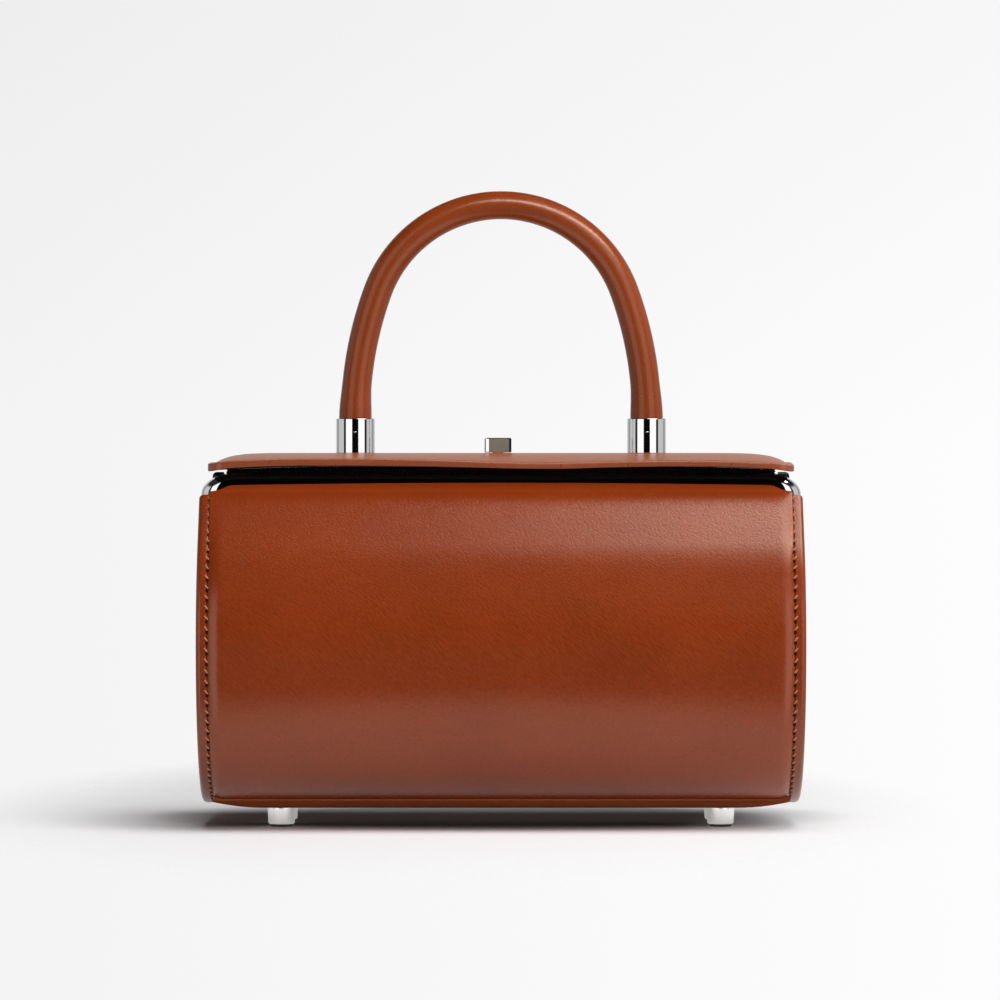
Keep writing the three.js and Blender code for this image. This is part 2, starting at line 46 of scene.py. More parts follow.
MM = 0.001
BASE_HALF_X = 106.35
BASE_HALF_Y = 19.8
BASE_CORNER = 2.2
BASE_TOP = 9.75
BASE_BOTTOM = 7.1
BASE_EDGE = 0.9
BASE_END_RISE = 2.2
BASE_RISE_START = 87.0
BASE_BROWN = (0.145, 0.031, 0.0085)
GRAIN_SLANT = math.radians(-47)
GRAIN_SIZE = (0.00045, 0.00045, 0.0024)
WAX_TINT = (1.0, 0.88, 0.72, 1.0)


def plan_loop(half_x, half_y, radius, centre_y=0.0, corner=10, long=72, short=30):
    """A rounded rectangle in plan: rows of x and y, always the same number of them."""
    signs = [(1, 1), (-1, 1), (-1, -1), (1, -1)]

    def on_corner(k, share):
        sx, sy = signs[k % 4]
        angle = (k % 4 + share) * math.pi / 2
        x = sx * (half_x - radius) + radius * np.cos(angle)
        y = centre_y + sy * (half_y - radius) + radius * np.sin(angle)
        return np.stack([x, y], axis=-1)

    rows = []
    for k in range(4):
        rows.append(on_corner(k, np.linspace(0, 1, corner)))
        spans = short if k % 2 else long
        start, stop = on_corner(k, np.array(1.0)), on_corner(k + 1, np.array(0.0))
        rows.append(np.linspace(start, stop, spans + 1)[1:-1])
    return np.concatenate(rows)


def grid_faces(rows, columns, ring=False, first=0):
    """Quads over points stored row by row, closed round each row where the rows are rings."""
    spans = columns if ring else columns - 1
    r, c = np.meshgrid(np.arange(rows - 1), np.arange(spans), indexing="ij")
    here, there = r * columns + c, r * columns + (c + 1) % columns
    quads = np.stack([here, there, there + columns, here + columns], axis=-1)
    return (first + quads.reshape(-1, 4)).tolist()


def closed_stack(loops):
    """Points and faces of a closed form through a stack of rings, each end closed by one flat face."""
    loops = np.asarray(loops, float)
    rows, columns = loops.shape[:2]
    faces = grid_faces(rows, columns, ring=True)
    faces.append(list(range(columns))[::-1])
    faces.append(list(range((rows - 1) * columns, rows * columns)))
    return loops.reshape(-1, 3), faces


def cut_piece(name, points, faces, finishes, finish_of=None, crisp_deg=40):
    """A mesh piece from points in millimetres, with smooth faces and crisp edges where it really has them."""
    mesh = bpy.data.meshes.new(name)
    mesh.from_pydata((np.asarray(points, float) * MM).tolist(), [], faces)
    shaped = bmesh.new()
    shaped.from_mesh(mesh)
    bmesh.ops.recalc_face_normals(shaped, faces=shaped.faces)
    shaped.to_mesh(mesh)
    shaped.free()
    mesh.polygons.foreach_set("use_smooth", [True] * len(mesh.polygons))
    mesh.set_sharp_from_angle(angle=math.radians(crisp_deg))
    for finish in finishes:
        mesh.materials.append(finish)
    if finish_of is not None:
        mesh.polygons.foreach_set("material_index", finish_of)
    mesh.update()
    piece = bpy.data.objects.new(name, mesh)
    bpy.context.scene.collection.objects.link(piece)
    return piece


def fit(piece, body, slot, *nodes):
    """Sets a piece on the body that carries it, in place of the plain solids that it stands for."""
    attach(piece, body)
    if nodes:
        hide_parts(*nodes)


def shader_tools(tree):
    """Short ways to work on a shader: add a node with settings and inputs, or feed one that is there."""
    def feed(node, by_place=None, **inputs):
        named = {key.replace("_", " "): value for key, value in inputs.items()}
        for key, value in {**(by_place or {}), **named}.items():
            if isinstance(value, bpy.types.Node):
                value = value.outputs[0]
            if isinstance(value, bpy.types.NodeSocket):
                tree.links.new(value, node.inputs[key])
            else:
                node.inputs[key].default_value = value
        return node

    def add(kind, settings=None, by_place=None, **inputs):
        node = tree.nodes.new("ShaderNode" + kind)
        for key, value in (settings or {}).items():
            setattr(node, key, value)
        return feed(node, by_place, **inputs)

    return add, feed


def new_finish(name):
    """A material, a way to add nodes to it, and a way to set or link what its surface takes."""
    material = bpy.data.materials.new(name)
    material.use_nodes = True
    add, feed = shader_tools(material.node_tree)

    def surface(**inputs):
        return feed(material.node_tree.nodes["Principled BSDF"], **inputs)

    return material, add, surface


def shade_of(colour, share):
    """A colour made lighter or darker by a share, as a shader colour."""
    return (*[min(c * share, 1.0) for c in colour], 1.0)


def colour_between(add, value, low, high, ends=(0.0, 1.0)):
    """A colour that runs from one to another as a value rises between two ends."""
    ramp = add("ValToRGB", Fac=value)
    for stop, position, colour in zip(ramp.color_ramp.elements, ends, (low, high)):
        stop.position = position
        stop.color = colour
    return ramp


def leather(name, colour, gloss=0.2, grain=1.0, mottle=0.08, wax=0.5):
    """Smooth calf: fine slanted grain and pores, a cloudy dye, and a wax polish that varies a little."""
    material, add, surface = new_finish(name)
    place = add("TexCoord").outputs["Object"]
    slanted = add("Mapping", {"vector_type": "TEXTURE"}, Vector=place, Rotation=(0.0, GRAIN_SLANT, 0.0),
                  Scale=GRAIN_SIZE)
    hairs = add("TexNoise", Vector=slanted, Scale=1.0, Detail=2.0, Roughness=0.5)
    pores = add("TexVoronoi", {"feature": "SMOOTH_F1"}, Vector=place, Scale=1500.0, Smoothness=0.4)
    clouds = add("TexNoise", Vector=place, Scale=26.0, Detail=4.0, Roughness=0.55)
    patches = add("TexNoise", Vector=place, Scale=210.0, Detail=3.0, Roughness=0.6)
    dye = colour_between(add, clouds, shade_of(colour, 1 - mottle), shade_of(colour, 1 + mottle), (0.3, 0.7))
    streaks = add("MapRange", Value=hairs, From_Min=0.35, From_Max=0.65, To_Min=1 - 0.1 * grain,
                  To_Max=1 + 0.1 * grain)
    tinted = add("Mix", {"data_type": "RGBA", "blend_type": "MULTIPLY"}, {6: dye, 7: streaks}, Factor=1.0)
    polish = add("MapRange", Value=patches, To_Min=gloss - 0.05, To_Max=gloss + 0.07)
    fine = add("Bump", Height=hairs, Strength=0.42 * grain, Distance=0.0002)
    pitted = add("Bump", Height=pores, Normal=fine, Strength=0.06 * grain, Distance=0.00015)
    surface(Base_Color=tinted.outputs[2], Roughness=polish, Normal=pitted, Specular_IOR_Level=wax,
            Specular_Tint=WAX_TINT, IOR=1.58)
    return material


base_leather = leather("base_leather", BASE_BROWN, gloss=0.5, grain=0.3, wax=0.12)


def base_underside(x):
    """The height of the base's underside, which turns up at both ends."""
    share = np.clip((np.abs(x) - BASE_RISE_START) / (BASE_HALF_X - BASE_RISE_START), 0, 1)
    return BASE_BOTTOM + BASE_END_RISE * share ** 2


def base_ring(inset, rise):
    """One ring of the base: drawn in from its edge, at a share of its thickness."""
    radius = max(BASE_CORNER - inset, 0.6)
    plan = plan_loop(BASE_HALF_X - inset, BASE_HALF_Y - inset, radius)
    under = base_underside(plan[:, 0])
    return np.c_[plan, under + (BASE_TOP - under) * rise]


edge_turn = np.linspace(0, math.pi / 2, 7)
base_rings = [base_ring(inset, 0) for inset in (18, 12, 7, 3)]
base_rings += [base_ring(BASE_EDGE * (1 - math.sin(a)), 0.5 * (1 - math.cos(a))) for a in edge_turn]
base_rings += [base_ring(BASE_EDGE * (1 - math.cos(a)), 0.5 + 0.5 * math.sin(a)) for a in edge_turn[1:]]
base_rings += [base_ring(inset, 1) for inset in (3, 10, 18)]
base = cut_piece("base", *closed_stack(base_rings), [base_leather])
fit(base, "body", "base_leather", "base_panel")


# Feet
# Four turned metal studs carry the bag, screwed up into the base. Each is a satin steel cone, tapered
# towards a fine bevel at its foot, over a dark rubber pad.

FOOT_X = 80.8
FOOT_Y = 14.0
STUD_SIDES = 64
STEEL = (0.92, 0.91, 0.89)
RUBBER_BLACK = (0.012, 0.012, 0.012, 1.0)
STUD_PROFILE = [
    (0.6, 0.95), (4.3, 0.95), (4.5, 1.0), (4.8, 1.35), (4.86, 1.5), (4.87, 1.65), (5.13, 6.2), (5.15, 6.85),
    (5.15, 7.05), (0.6, 7.05),
]
PAD_PROFILE = [(0.6, 0.0), (3.6, 0.0), (3.95, 0.12), (4.12, 0.35), (4.16, 0.7), (4.1, 0.93), (0.6, 0.93)]


def turned(profile, centre, sides=STUD_SIDES):
    """A lathe-turned form about an upright axis, from its half profile."""
    angle = np.linspace(0, 2 * math.pi, sides, endpoint=False)
    loops = []
    for radius, height in profile:
        ring = np.c_[radius * np.cos(angle), radius * np.sin(angle), np.full(sides, height)]
        loops.append(ring + np.array(centre))
    return closed_stack(loops)


def metal(name, colour, gloss, brushed=(1.0, 1.0, 1.0), scratch=0.05, bare=1.0):
    """Polished or satin metal with faint drawn lines and a few softer patches, bare or partly lacquered."""
    material, add, surface = new_finish(name)
    place = add("TexCoord").outputs["Object"]
    drawn = add("Mapping", Vector=place, Scale=tuple(900.0 * b for b in brushed))
    lines = add("TexNoise", Vector=drawn, Scale=1.0, Detail=3.0)
    smears = add("TexNoise", Vector=place, Scale=140.0, Detail=3.0)
    polish = add("MapRange", Value=smears, To_Min=gloss * 0.75, To_Max=gloss * 1.3)
    bump = add("Bump", Height=lines, Strength=scratch, Distance=0.00003)
    surface(Base_Color=(*colour, 1.0), Metallic=bare, Roughness=polish, Normal=bump)
    return material


satin_steel = metal("satin_steel", STEEL, 0.14, brushed=(0.4, 0.4, 3.0), scratch=0.12)

rubber, add, surface = new_finish("rubber")
crumb = add("TexNoise", Vector=add("TexCoord").outputs["Object"], Scale=900.0, Detail=4.0)
dust = add("MapRange", Value=crumb, To_Min=0.55, To_Max=0.85)
dimples = add("Bump", Height=crumb, Strength=0.3, Distance=0.0001)
surface(Base_Color=RUBBER_BLACK, Roughness=dust, Normal=dimples)

for end_name, end_y in (("front", -FOOT_Y), ("back", FOOT_Y)):
    for side_name, side_x in (("left", -FOOT_X), ("right", FOOT_X)):
        where = (side_x, end_y, 0.0)
        stud = cut_piece(f"stud_{end_name}_{side_name}", *turned(STUD_PROFILE, where), [satin_steel])
        fit(stud, "body", "satin_metal", f"foot_{end_name}_{side_name}")
        pad = cut_piece(f"pad_{end_name}_{side_name}", *turned(PAD_PROFILE, where), [rubber])
        fit(pad, "body", "rubber", f"foot_pad_{end_name}_{side_name}")


# Front and back panels
# Each panel is one sheet of tan calf over a stiffener, bent round the barrel from the base to the crease
# under the lid. Its ends roll into the gusset seams, its cut edges are painted dark, and its top corners are
# cut for the frame. Its two lowest rows carry the same dark colour as painted shade in the seam above the
# base.

BARREL_RADIUS = 60.6
BARREL_MIDDLE = 67.7
LEAN = math.radians(38)
CREASE_Z = 123.5
PANEL_BOTTOM = math.radians(71.8)
PANEL_THICK = 2.4
PANEL_END = 106.5
FOLD_START = 122.7
FOLD_SHARPNESS = 6.0
PANEL_TOP_DEPTH = 28.3
PANEL_TOP = 126.7
PANEL_TOP_BOW = 1.0
SHOULDER_DROOP = 0.2
DROOP_START = 108.0
ROLL_WIDTH = 5.0
ROLL_DEPTH = 1.7
ROLL_FULL = 96.0
EDGE_ROUND = 0.5
BOTTOM_EDGE_DROP = 0.9
LINING_EASE = 0.3
CORNER_WIDTH = 7.5
CORNER_CUT = 0.48
TAN = (0.16, 0.0225, 0.0036)
FLESH = (0.33, 0.17, 0.09)
EDGE_PAINT_AND_SEAM_SHADE = (0.02, 0.005, 0.002)
BELLY_ROWS = 120
LEAN_ROWS = 24
FOLD_ROWS = 22
SEAM_SHADE_ROWS = 2

calf = leather("calf", TAN)


def suede(name, colour, sheen=0.3):
    """The flesh side of the leather: matt, with a short soft nap."""
    material, add, surface = new_finish(name)
    place = add("TexCoord").outputs["Object"]
    nap = add("TexNoise", Vector=place, Scale=900.0, Detail=5.0, Roughness=0.7)
    brushed = add("TexNoise", Vector=place, Scale=45.0, Detail=3.0)
    tone = colour_between(add, brushed, shade_of(colour, 0.8), shade_of(colour, 1.2))
    fuzz = add("Bump", Height=nap, Strength=0.5, Distance=0.0003)
    surface(Base_Color=tone, Roughness=0.92, Normal=fuzz, Specular_IOR_Level=0.1, Sheen_Weight=sheen)
    return material


lining = suede("lining", FLESH)
# Dark edge paint for the cut edges, also laid on the panels' lowest rows as painted shade in the seam.
edge_paint_and_seam_shade = leather("edge_paint_and_seam_shade", EDGE_PAINT_AND_SEAM_SHADE, gloss=0.5, grain=0.2, wax=0.15)


def lean_depth(radius, z):
    """How far the straight part above the barrel stands from the middle plane."""
    return (radius - (z - BARREL_MIDDLE) * math.sin(LEAN)) / math.cos(LEAN)


def barrel_line(radius, bottom, top_z, turns, rises):
    """The barrel's side profile: rows of depth and height from under the belly up to a height on the lean."""
    angle = np.linspace(-bottom, LEAN, turns)
    round_part = np.c_[radius * np.cos(angle), BARREL_MIDDLE + radius * np.sin(angle)]
    z = np.linspace(round_part[-1, 1], top_z, rises + 1)[1:]
    return np.concatenate([round_part, np.c_[lean_depth(radius, z), z]])


def smooth_step(value, low, high):
    """Rises smoothly from 0 to 1 between two values."""
    share = np.clip((value - low) / (high - low), 0, 1)
    return share * share * (3 - 2 * share)


def quarter_drop(share):
    """How far a quarter circle has dropped at a share of its width."""
    return 1 - np.sqrt(1 - np.clip(share, 0, 1) ** 2)


def fold_line(reach, top_z):
    """The crease at the panel's top: a tight bend, by shares of the way along it up to a bowed top edge."""
    start = np.array([lean_depth(BARREL_RADIUS, FOLD_START), FOLD_START])
    corner = np.array([lean_depth(BARREL_RADIUS, CREASE_Z), CREASE_Z])
    stop = np.stack([np.full(len(top_z), PANEL_TOP_DEPTH), top_z], axis=-1)
    t = reach[..., None]
    weights = (1 - t) ** 2, 2 * FOLD_SHARPNESS * t * (1 - t), t ** 2
    return (weights[0] * start + weights[1] * corner + weights[2] * stop) / sum(weights)


def end_columns():
    """Places across the panel: close together where the ends roll, wider apart between them."""
    from_end = [0, 0.12, 0.3, 0.5, 0.75, 1.05, 1.4, 1.8, 2.3, 2.9, 3.6, 4.4, 5.4, 6.5, 8.0]
    near_end = PANEL_END - np.array(from_end)
    flat = np.linspace(-1, 1, 81)[1:-1] * (near_end[-1] - 1.2)
    return np.concatenate([-near_end, flat, near_end[::-1]])


def facing(profile):
    """The outward direction at each point of a side profile, along its first axis."""
    along = np.gradient(profile, axis=0)
    along /= np.linalg.norm(along, axis=-1, keepdims=True)
    return np.stack([along[..., 1], -along[..., 0]], axis=-1)


def walled(outer, inner):
    """A closed wall between two grids of points: its faces, and 0, 1 or 2 for outer, inner or rim."""
    rows, columns = outer.shape[:2]
    points = np.concatenate([outer.reshape(-1, 3), inner.reshape(-1, 3)])
    count = rows * columns
    faces = grid_faces(rows, columns)
    outer_count = len(faces)
    faces += grid_faces(rows, columns, first=count)
    index = np.arange(count).reshape(rows, columns)
    border = np.concatenate([index[0, :], index[1:, -1], index[-1, -2::-1], index[-2:0:-1, 0]])
    following = np.roll(border, -1)
    faces += np.stack([border, following, following + count, border + count], axis=-1).tolist()
    layers = [0] * outer_count + [1] * outer_count + [2] * len(border)
    return points, faces, layers


panel_x = end_columns()
into_corner = np.clip((np.abs(panel_x) - PANEL_END + CORNER_WIDTH) / CORNER_WIDTH, 0, 1)
fold_reach = np.linspace(0, 1, FOLD_ROWS + 1)[1:, None] * (1 - CORNER_CUT * into_corner ** 1.8)
lower = barrel_line(BARREL_RADIUS, PANEL_BOTTOM, FOLD_START, BELLY_ROWS, LEAN_ROWS)
top_edge = PANEL_TOP - PANEL_TOP_BOW * (panel_x / PANEL_END) ** 2
belly_line = np.repeat(lower[:, None], len(panel_x), axis=1)
panel_line = np.concatenate([belly_line, fold_line(fold_reach, top_edge)])
up_shoulder = np.clip((panel_line[..., 1] - DROOP_START) / (CREASE_Z - DROOP_START), 0, 1)
droop = SHOULDER_DROOP * up_shoulder ** 2
panel_line = panel_line - droop[..., None] * np.array([math.cos(LEAN), math.sin(LEAN)])
panel_facing = facing(panel_line)
roll_share = np.clip((np.abs(panel_x) - PANEL_END + ROLL_WIDTH) / ROLL_WIDTH, 0, 1)
roll_fade = 1 - smooth_step(panel_line[..., 1], ROLL_FULL, FOLD_START)
end_share = np.clip((np.abs(panel_x) - PANEL_END + EDGE_ROUND) / EDGE_ROUND, 0, 1)
drop = ROLL_DEPTH * roll_fade * roll_share ** 2
drop += (ROLL_DEPTH - drop) * quarter_drop(end_share)
bottom_run = BARREL_RADIUS * np.linspace(0, LEAN + PANEL_BOTTOM, BELLY_ROWS)
bottom_share = np.zeros(len(panel_line))
bottom_share[:BELLY_ROWS] = np.clip(1 - bottom_run / EDGE_ROUND, 0, 1)
drop = np.maximum(drop, BOTTOM_EDGE_DROP * quarter_drop(bottom_share)[:, None])


def panel_layer(depth_in, side):
    """The panel's outer or inner skin, for the front or the back of the bag."""
    at = panel_line - panel_facing * (drop + depth_in)[..., None]
    least = np.where(panel_line[..., 1] > FOLD_START - SHOULDER_DROOP, PANEL_TOP_DEPTH, 0.0)
    x = np.broadcast_to(panel_x, at.shape[:2])
    return np.stack([-side * x, side * np.maximum(at[..., 0], least), at[..., 1]], axis=-1)


panels = []
for panel_name, side in (("front_panel", -1), ("back_panel", 1)):
    points, faces, layers = walled(panel_layer(0.0, side), panel_layer(PANEL_THICK - LINING_EASE, side))
    # The lowest rows of the outer face take the dark edge colour: painted shade in the seam above the base.
    painted = SEAM_SHADE_ROWS * (len(panel_x) - 1)
    layers[:painted] = [2] * painted
    panel = cut_piece(f"{panel_name}_leather", points, faces, [calf, lining, edge_paint_and_seam_shade], layers)
    fit(panel, "body", "leather", panel_name)
    panels.append(panel)


# Gussets
# Each end of the barrel is a flat leather gusset whose edge is turned over the panels' ends as a narrow rim.
# The rim is sewn down through both layers, close to its inner edge.

GUSSET_HALF_WIDTH = 110.2
RIM_EDGE = 106.3
RIM_RADIUS = BARREL_RADIUS - 1.0
GUSSET_TOP = 122.3
GUSSET_THICK = 1.5
GUSSET_CORNER = 1.7
GUSSET_BOW = 0.4
RIM_SOFT_EDGE = 0.35


def gusset_loop(x, inset):
    """The gusset's outline seen from the side, drawn in by an inset, at one place across the bag."""
    back = barrel_line(RIM_RADIUS - inset, math.pi / 2, GUSSET_TOP - inset, 70, 16)
    top = np.linspace(back[-1], back[-1] * (-1, 1), 26)[1:-1]
    front = back[:0:-1] * (-1, 1)
    outline = np.concatenate([back, top, front])
    return np.c_[np.full(len(outline), x), outline]


def bowed(inset):
    """How far the gusset's face stands out from its corner at an inset."""
    return GUSSET_BOW * (1 - (1 - inset / BARREL_RADIUS) ** 2)


quarter = np.linspace(0, math.pi / 2, 9)
face_insets = (3, 6, 10, 16, 24, 34, 44)
inner_x = GUSSET_HALF_WIDTH - GUSSET_THICK
gusset_loops = [gusset_loop(inner_x + bowed(i), i) for i in reversed(face_insets)]
gusset_loops += [gusset_loop(inner_x, GUSSET_THICK + 0.3), gusset_loop(inner_x - 0.3, GUSSET_THICK)]
soft = RIM_SOFT_EDGE
for a in quarter:
    edge_inset = GUSSET_THICK - soft * (1 - math.cos(a))
    gusset_loops.append(gusset_loop(RIM_EDGE + soft * (1 - math.sin(a)), edge_inset))
for a in quarter:
    gusset_loops.append(gusset_loop(RIM_EDGE + soft * (1 - math.cos(a)), soft * (1 - math.sin(a))))
for a in quarter:
    corner_x = GUSSET_HALF_WIDTH - GUSSET_CORNER * (1 - math.sin(a))
    gusset_loops.append(gusset_loop(corner_x, GUSSET_CORNER * (1 - math.cos(a))))
gusset_loops += [gusset_loop(GUSSET_HALF_WIDTH + bowed(i), i) for i in face_insets]
outline_count = len(gusset_loops[0])
lined_rows = len(face_insets) + 1
outer_rows = len(gusset_loops) - 1 - lined_rows
gusset_finish = [1] * (lined_rows * outline_count) + [0] * (outer_rows * outline_count) + [1, 0]
for gusset_name, side in (("gusset_right", 1), ("gusset_left", -1)):
    points, faces = closed_stack(np.array(gusset_loops) * (side, 1, 1))
    gusset = cut_piece(f"{gusset_name}_leather", points, faces, [calf, lining], gusset_finish)
    fit(gusset, "body", "leather", gusset_name)


# Gusset stitching
# A waxed thread is sewn by hand in slanted stitches along each rim, front and back. It runs through round
# awl holes, whose shade is painted as small dark beads beside the stitches.

STITCH_PITCH = 3.87
STITCH_X = 106.45
STITCH_TOP = 121.5
STITCH_BOTTOM = math.radians(70)
STITCH_LENGTH = 2.1
STITCH_SLANT = math.radians(42)
THREAD_RADIUS = 0.34
THREAD_HEIGHT = 0.3
HOLE_RADIUS = 0.7
HOLE_HEIGHT = 0.1
HOLE_BELOW = 0.36
HOLE_INWARD = 0.25
THREAD_DARK = (0.19, 0.06, 0.025, 1.0)
THREAD_PALE = (0.42, 0.18, 0.09, 1.0)
HOLE_SHADE_DARK = (0.008, 0.002, 0.001, 1.0)
HOLE_SHADE_PALE = (0.03, 0.008, 0.003, 1.0)

thread, add, surface = new_finish("thread")
place = add("TexCoord").outputs["Object"]
ply = add("TexWave", {"bands_direction": "DIAGONAL"}, Vector=place, Scale=2200.0).outputs["Fac"]
twist = add("Bump", Height=ply, Strength=0.4, Distance=0.0001)
surface(Base_Color=colour_between(add, ply, THREAD_DARK, THREAD_PALE), Roughness=0.5, Normal=twist)

# The awl holes are small dark beads: their colour is painted shade.
awl_hole_shade, add, surface = new_finish("awl_hole_shade")
hole_shade_mottle = add("TexNoise", Vector=add("TexCoord").outputs["Object"], Scale=2600.0, Detail=2.0)
surface(Base_Color=colour_between(add, hole_shade_mottle, HOLE_SHADE_DARK, HOLE_SHADE_PALE), Roughness=0.95, Specular_IOR_Level=0.1)


def bead(centre, along, across, out, half_length, half_width, height, turns=9, sides=10):
    """A small rounded form lying on a surface, longest along one direction: a stitch, or the painted shade of
    a sunk hole.
    """
    latitude = np.linspace(-1, 1, turns + 2)[1:-1] * math.pi / 2
    longitude = np.linspace(0, 2 * math.pi, sides, endpoint=False)
    loops = []
    for a in latitude:
        ring = np.outer(np.cos(longitude) * half_width * math.cos(a), across)
        ring += np.outer(np.sin(longitude) * height * math.cos(a), out)
        loops.append(ring + centre + along * half_length * math.sin(a))
    return closed_stack(loops)


def joined(parts):
    """Several points-and-faces forms as one."""
    points, faces, first = [], [], 0
    for part_points, part_faces in parts:
        points.append(part_points)
        faces += [[first + i for i in face] for face in part_faces]
        first += len(part_points)
    return np.concatenate(points), faces


def along_line(line, pitch):
    """Points evenly spaced along a profile, with the direction of the line at each."""
    steps = np.linalg.norm(np.diff(line, axis=0), axis=1)
    run = np.concatenate([[0], np.cumsum(steps)])
    at = np.arange(0.5 * pitch, run[-1], pitch)
    points = np.stack([np.interp(at, run, line[:, k]) for k in range(2)], axis=-1)
    heading = np.gradient(line, axis=0)
    turned_to = np.stack([np.interp(at, run, heading[:, k]) for k in range(2)], axis=-1)
    return points, turned_to / np.linalg.norm(turned_to, axis=1, keepdims=True)


rim_line = barrel_line(RIM_RADIUS, STITCH_BOTTOM, STITCH_TOP, 200, 60)
stitch_at, stitch_heading = along_line(rim_line, STITCH_PITCH)
stitches, holes = [], []
for side_y in (-1, 1):
    for side_x in (-1, 1):
        for (depth, z), (run_y, run_z) in zip(stitch_at, stitch_heading):
            here = np.array([side_x * STITCH_X, side_y * depth, z])
            up = np.array([0.0, side_y * run_y, run_z])
            out = np.array([0.0, side_y * run_z, -run_y])
            across = np.array([float(side_x), 0.0, 0.0])
            along = math.cos(STITCH_SLANT) * up + math.sin(STITCH_SLANT) * across
            level = np.cross(along, out)
            stitches.append(bead(here, along, level, out, STITCH_LENGTH / 2, THREAD_RADIUS, THREAD_HEIGHT))
            below = here - HOLE_BELOW * STITCH_PITCH * up - HOLE_INWARD * across
            holes.append(bead(below, up, across, out, HOLE_RADIUS, 0.8 * HOLE_RADIUS, HOLE_HEIGHT))
stitching = cut_piece("gusset_stitching", *joined(stitches), [thread])
fit(stitching, "body", "leather")
gusset_hole_shades = cut_piece("gusset_stitch_hole_shades", *joined(holes), [awl_hole_shade])
fit(gusset_hole_shades, "body", "leather")


# Mouth frame
# One polished metal band rims the mouth, pressed to a quarter-round shoulder that shows at both ends of the
# lid. The back of it carries three knuckles of the lid's barrel hinge.

MOUTH_HALF = (99.6, 26.7)
MOUTH_CORNER = 5.0
FRAME_FOOT_HALF = (110.0, 27.9)
FRAME_FOOT_CORNER = 6.5
FRAME_FOOT = 122.15
FRAME_TOP = 129.6
FRAME_THICK = 1.5
FRAME_TOP_SHARE = 0.8
FRAME_ROWS = 26
HINGE_Y = 32.1
HINGE_Z = 128.6
KNUCKLE_RADIUS = 2.1
BRIDGE_HEIGHT = 1.2
BRIDGE_LAP = 0.4
KNUCKLE_GAP = 0.4
FRAME_KNUCKLES = ((-103.5, -70), (-20, 20), (70, 103.5))
LID_KNUCKLES = ((-70, -20), (20, 70))

chrome = metal("chrome", (0.8, 0.8, 0.81), 0.045)


def frame_skin(inset):
    """The band's outer or inner skin, from its foot up over the shoulder to the mouth."""
    (mouth_x, mouth_y), (foot_x, foot_y) = MOUTH_HALF, FRAME_FOOT_HALF
    mouth = plan_loop(mouth_x - inset, mouth_y - inset, MOUTH_CORNER - inset / 2, corner=20)
    foot = plan_loop(foot_x - inset, foot_y - inset, FRAME_FOOT_CORNER - inset / 2, corner=20)
    rows = []
    for a in np.linspace(0, math.pi / 2, FRAME_ROWS):
        plan = mouth + (foot - mouth) * math.cos(a)
        z = FRAME_FOOT + (FRAME_TOP - FRAME_TOP_SHARE * inset - FRAME_FOOT) * math.sin(a)
        rows.append(np.c_[plan, np.full(len(plan), z)])
    return rows


def hinge_bar(stations, sides=40):
    """A round bar on the hinge's axis, from its places along X and the radius at each."""
    angle = np.linspace(0, 2 * math.pi, sides, endpoint=False)
    loops = []
    for x, radius in stations:
        y, z = HINGE_Y + radius * np.cos(angle), HINGE_Z + radius * np.sin(angle)
        loops.append(np.c_[np.full(sides, x), y, z])
    return closed_stack(loops)


def knuckle(x0, x1, edge=0.25):
    """One knuckle of the hinge, its ends eased."""
    full, end = KNUCKLE_RADIUS, KNUCKLE_RADIUS - edge
    return hinge_bar([(x0, end), (x0 + edge, full), (x1 - edge, full), (x1, end)])


def plate(x, y, z, edge=0.2):
    """A flat plate with eased edges, given its spans along X, Y and Z."""
    loops = []
    for height, inset in ((z[0], edge), (z[0] + edge, 0), (z[1] - edge, 0), (z[1], edge)):
        plan = plan_loop((x[1] - x[0]) / 2 - inset, (y[1] - y[0]) / 2 - inset, 0.3, corner=4, long=4, short=4)
        plan = plan + ((x[0] + x[1]) / 2, (y[0] + y[1]) / 2)
        loops.append(np.c_[plan, np.full(len(plan), height)])
    return closed_stack(loops)


band = frame_skin(0.0) + frame_skin(FRAME_THICK)[::-1]
band_rows, band_columns = len(band), len(band[0])
band_points = np.array(band).reshape(-1, 3)
band_faces = grid_faces(band_rows, band_columns, ring=True)
last = (band_rows - 1) * band_columns
for c in range(band_columns):
    n = (c + 1) % band_columns
    band_faces.append([c, n, last + n, last + c])
frame_parts = [(band_points, band_faces)]
for x0, x1 in FRAME_KNUCKLES:
    span = (x0 + KNUCKLE_GAP / 2, x1 - KNUCKLE_GAP / 2)
    frame_parts.append(knuckle(*span))
    frame_parts.append(plate(span, (MOUTH_HALF[1] - BRIDGE_LAP, HINGE_Y), (HINGE_Z - BRIDGE_HEIGHT, HINGE_Z)))
mouth_band = cut_piece("mouth_band", *joined(frame_parts), [chrome])
fit(mouth_band, "body", "bright_metal", "mouth_frame")


# Hinge pin
# A steel pin runs through all the knuckles and holds the lid to the frame. Its nearly black colour is painted
# shade, and it ends in a small domed head at each side of the bag.

PIN_HEAD_RADIUS = 1.7
PIN_HEAD_FROM = 104.0
PIN_HEAD_TO = 108.4
PIN_RADIUS = 0.95
PIN_HEAD_BEVEL = 0.15

# Nearly black steel, as painted shade, for the hinge pin and the leaf's plate.
shade_black_steel = metal("shade_black_steel", (0.02, 0.02, 0.02), 0.25)

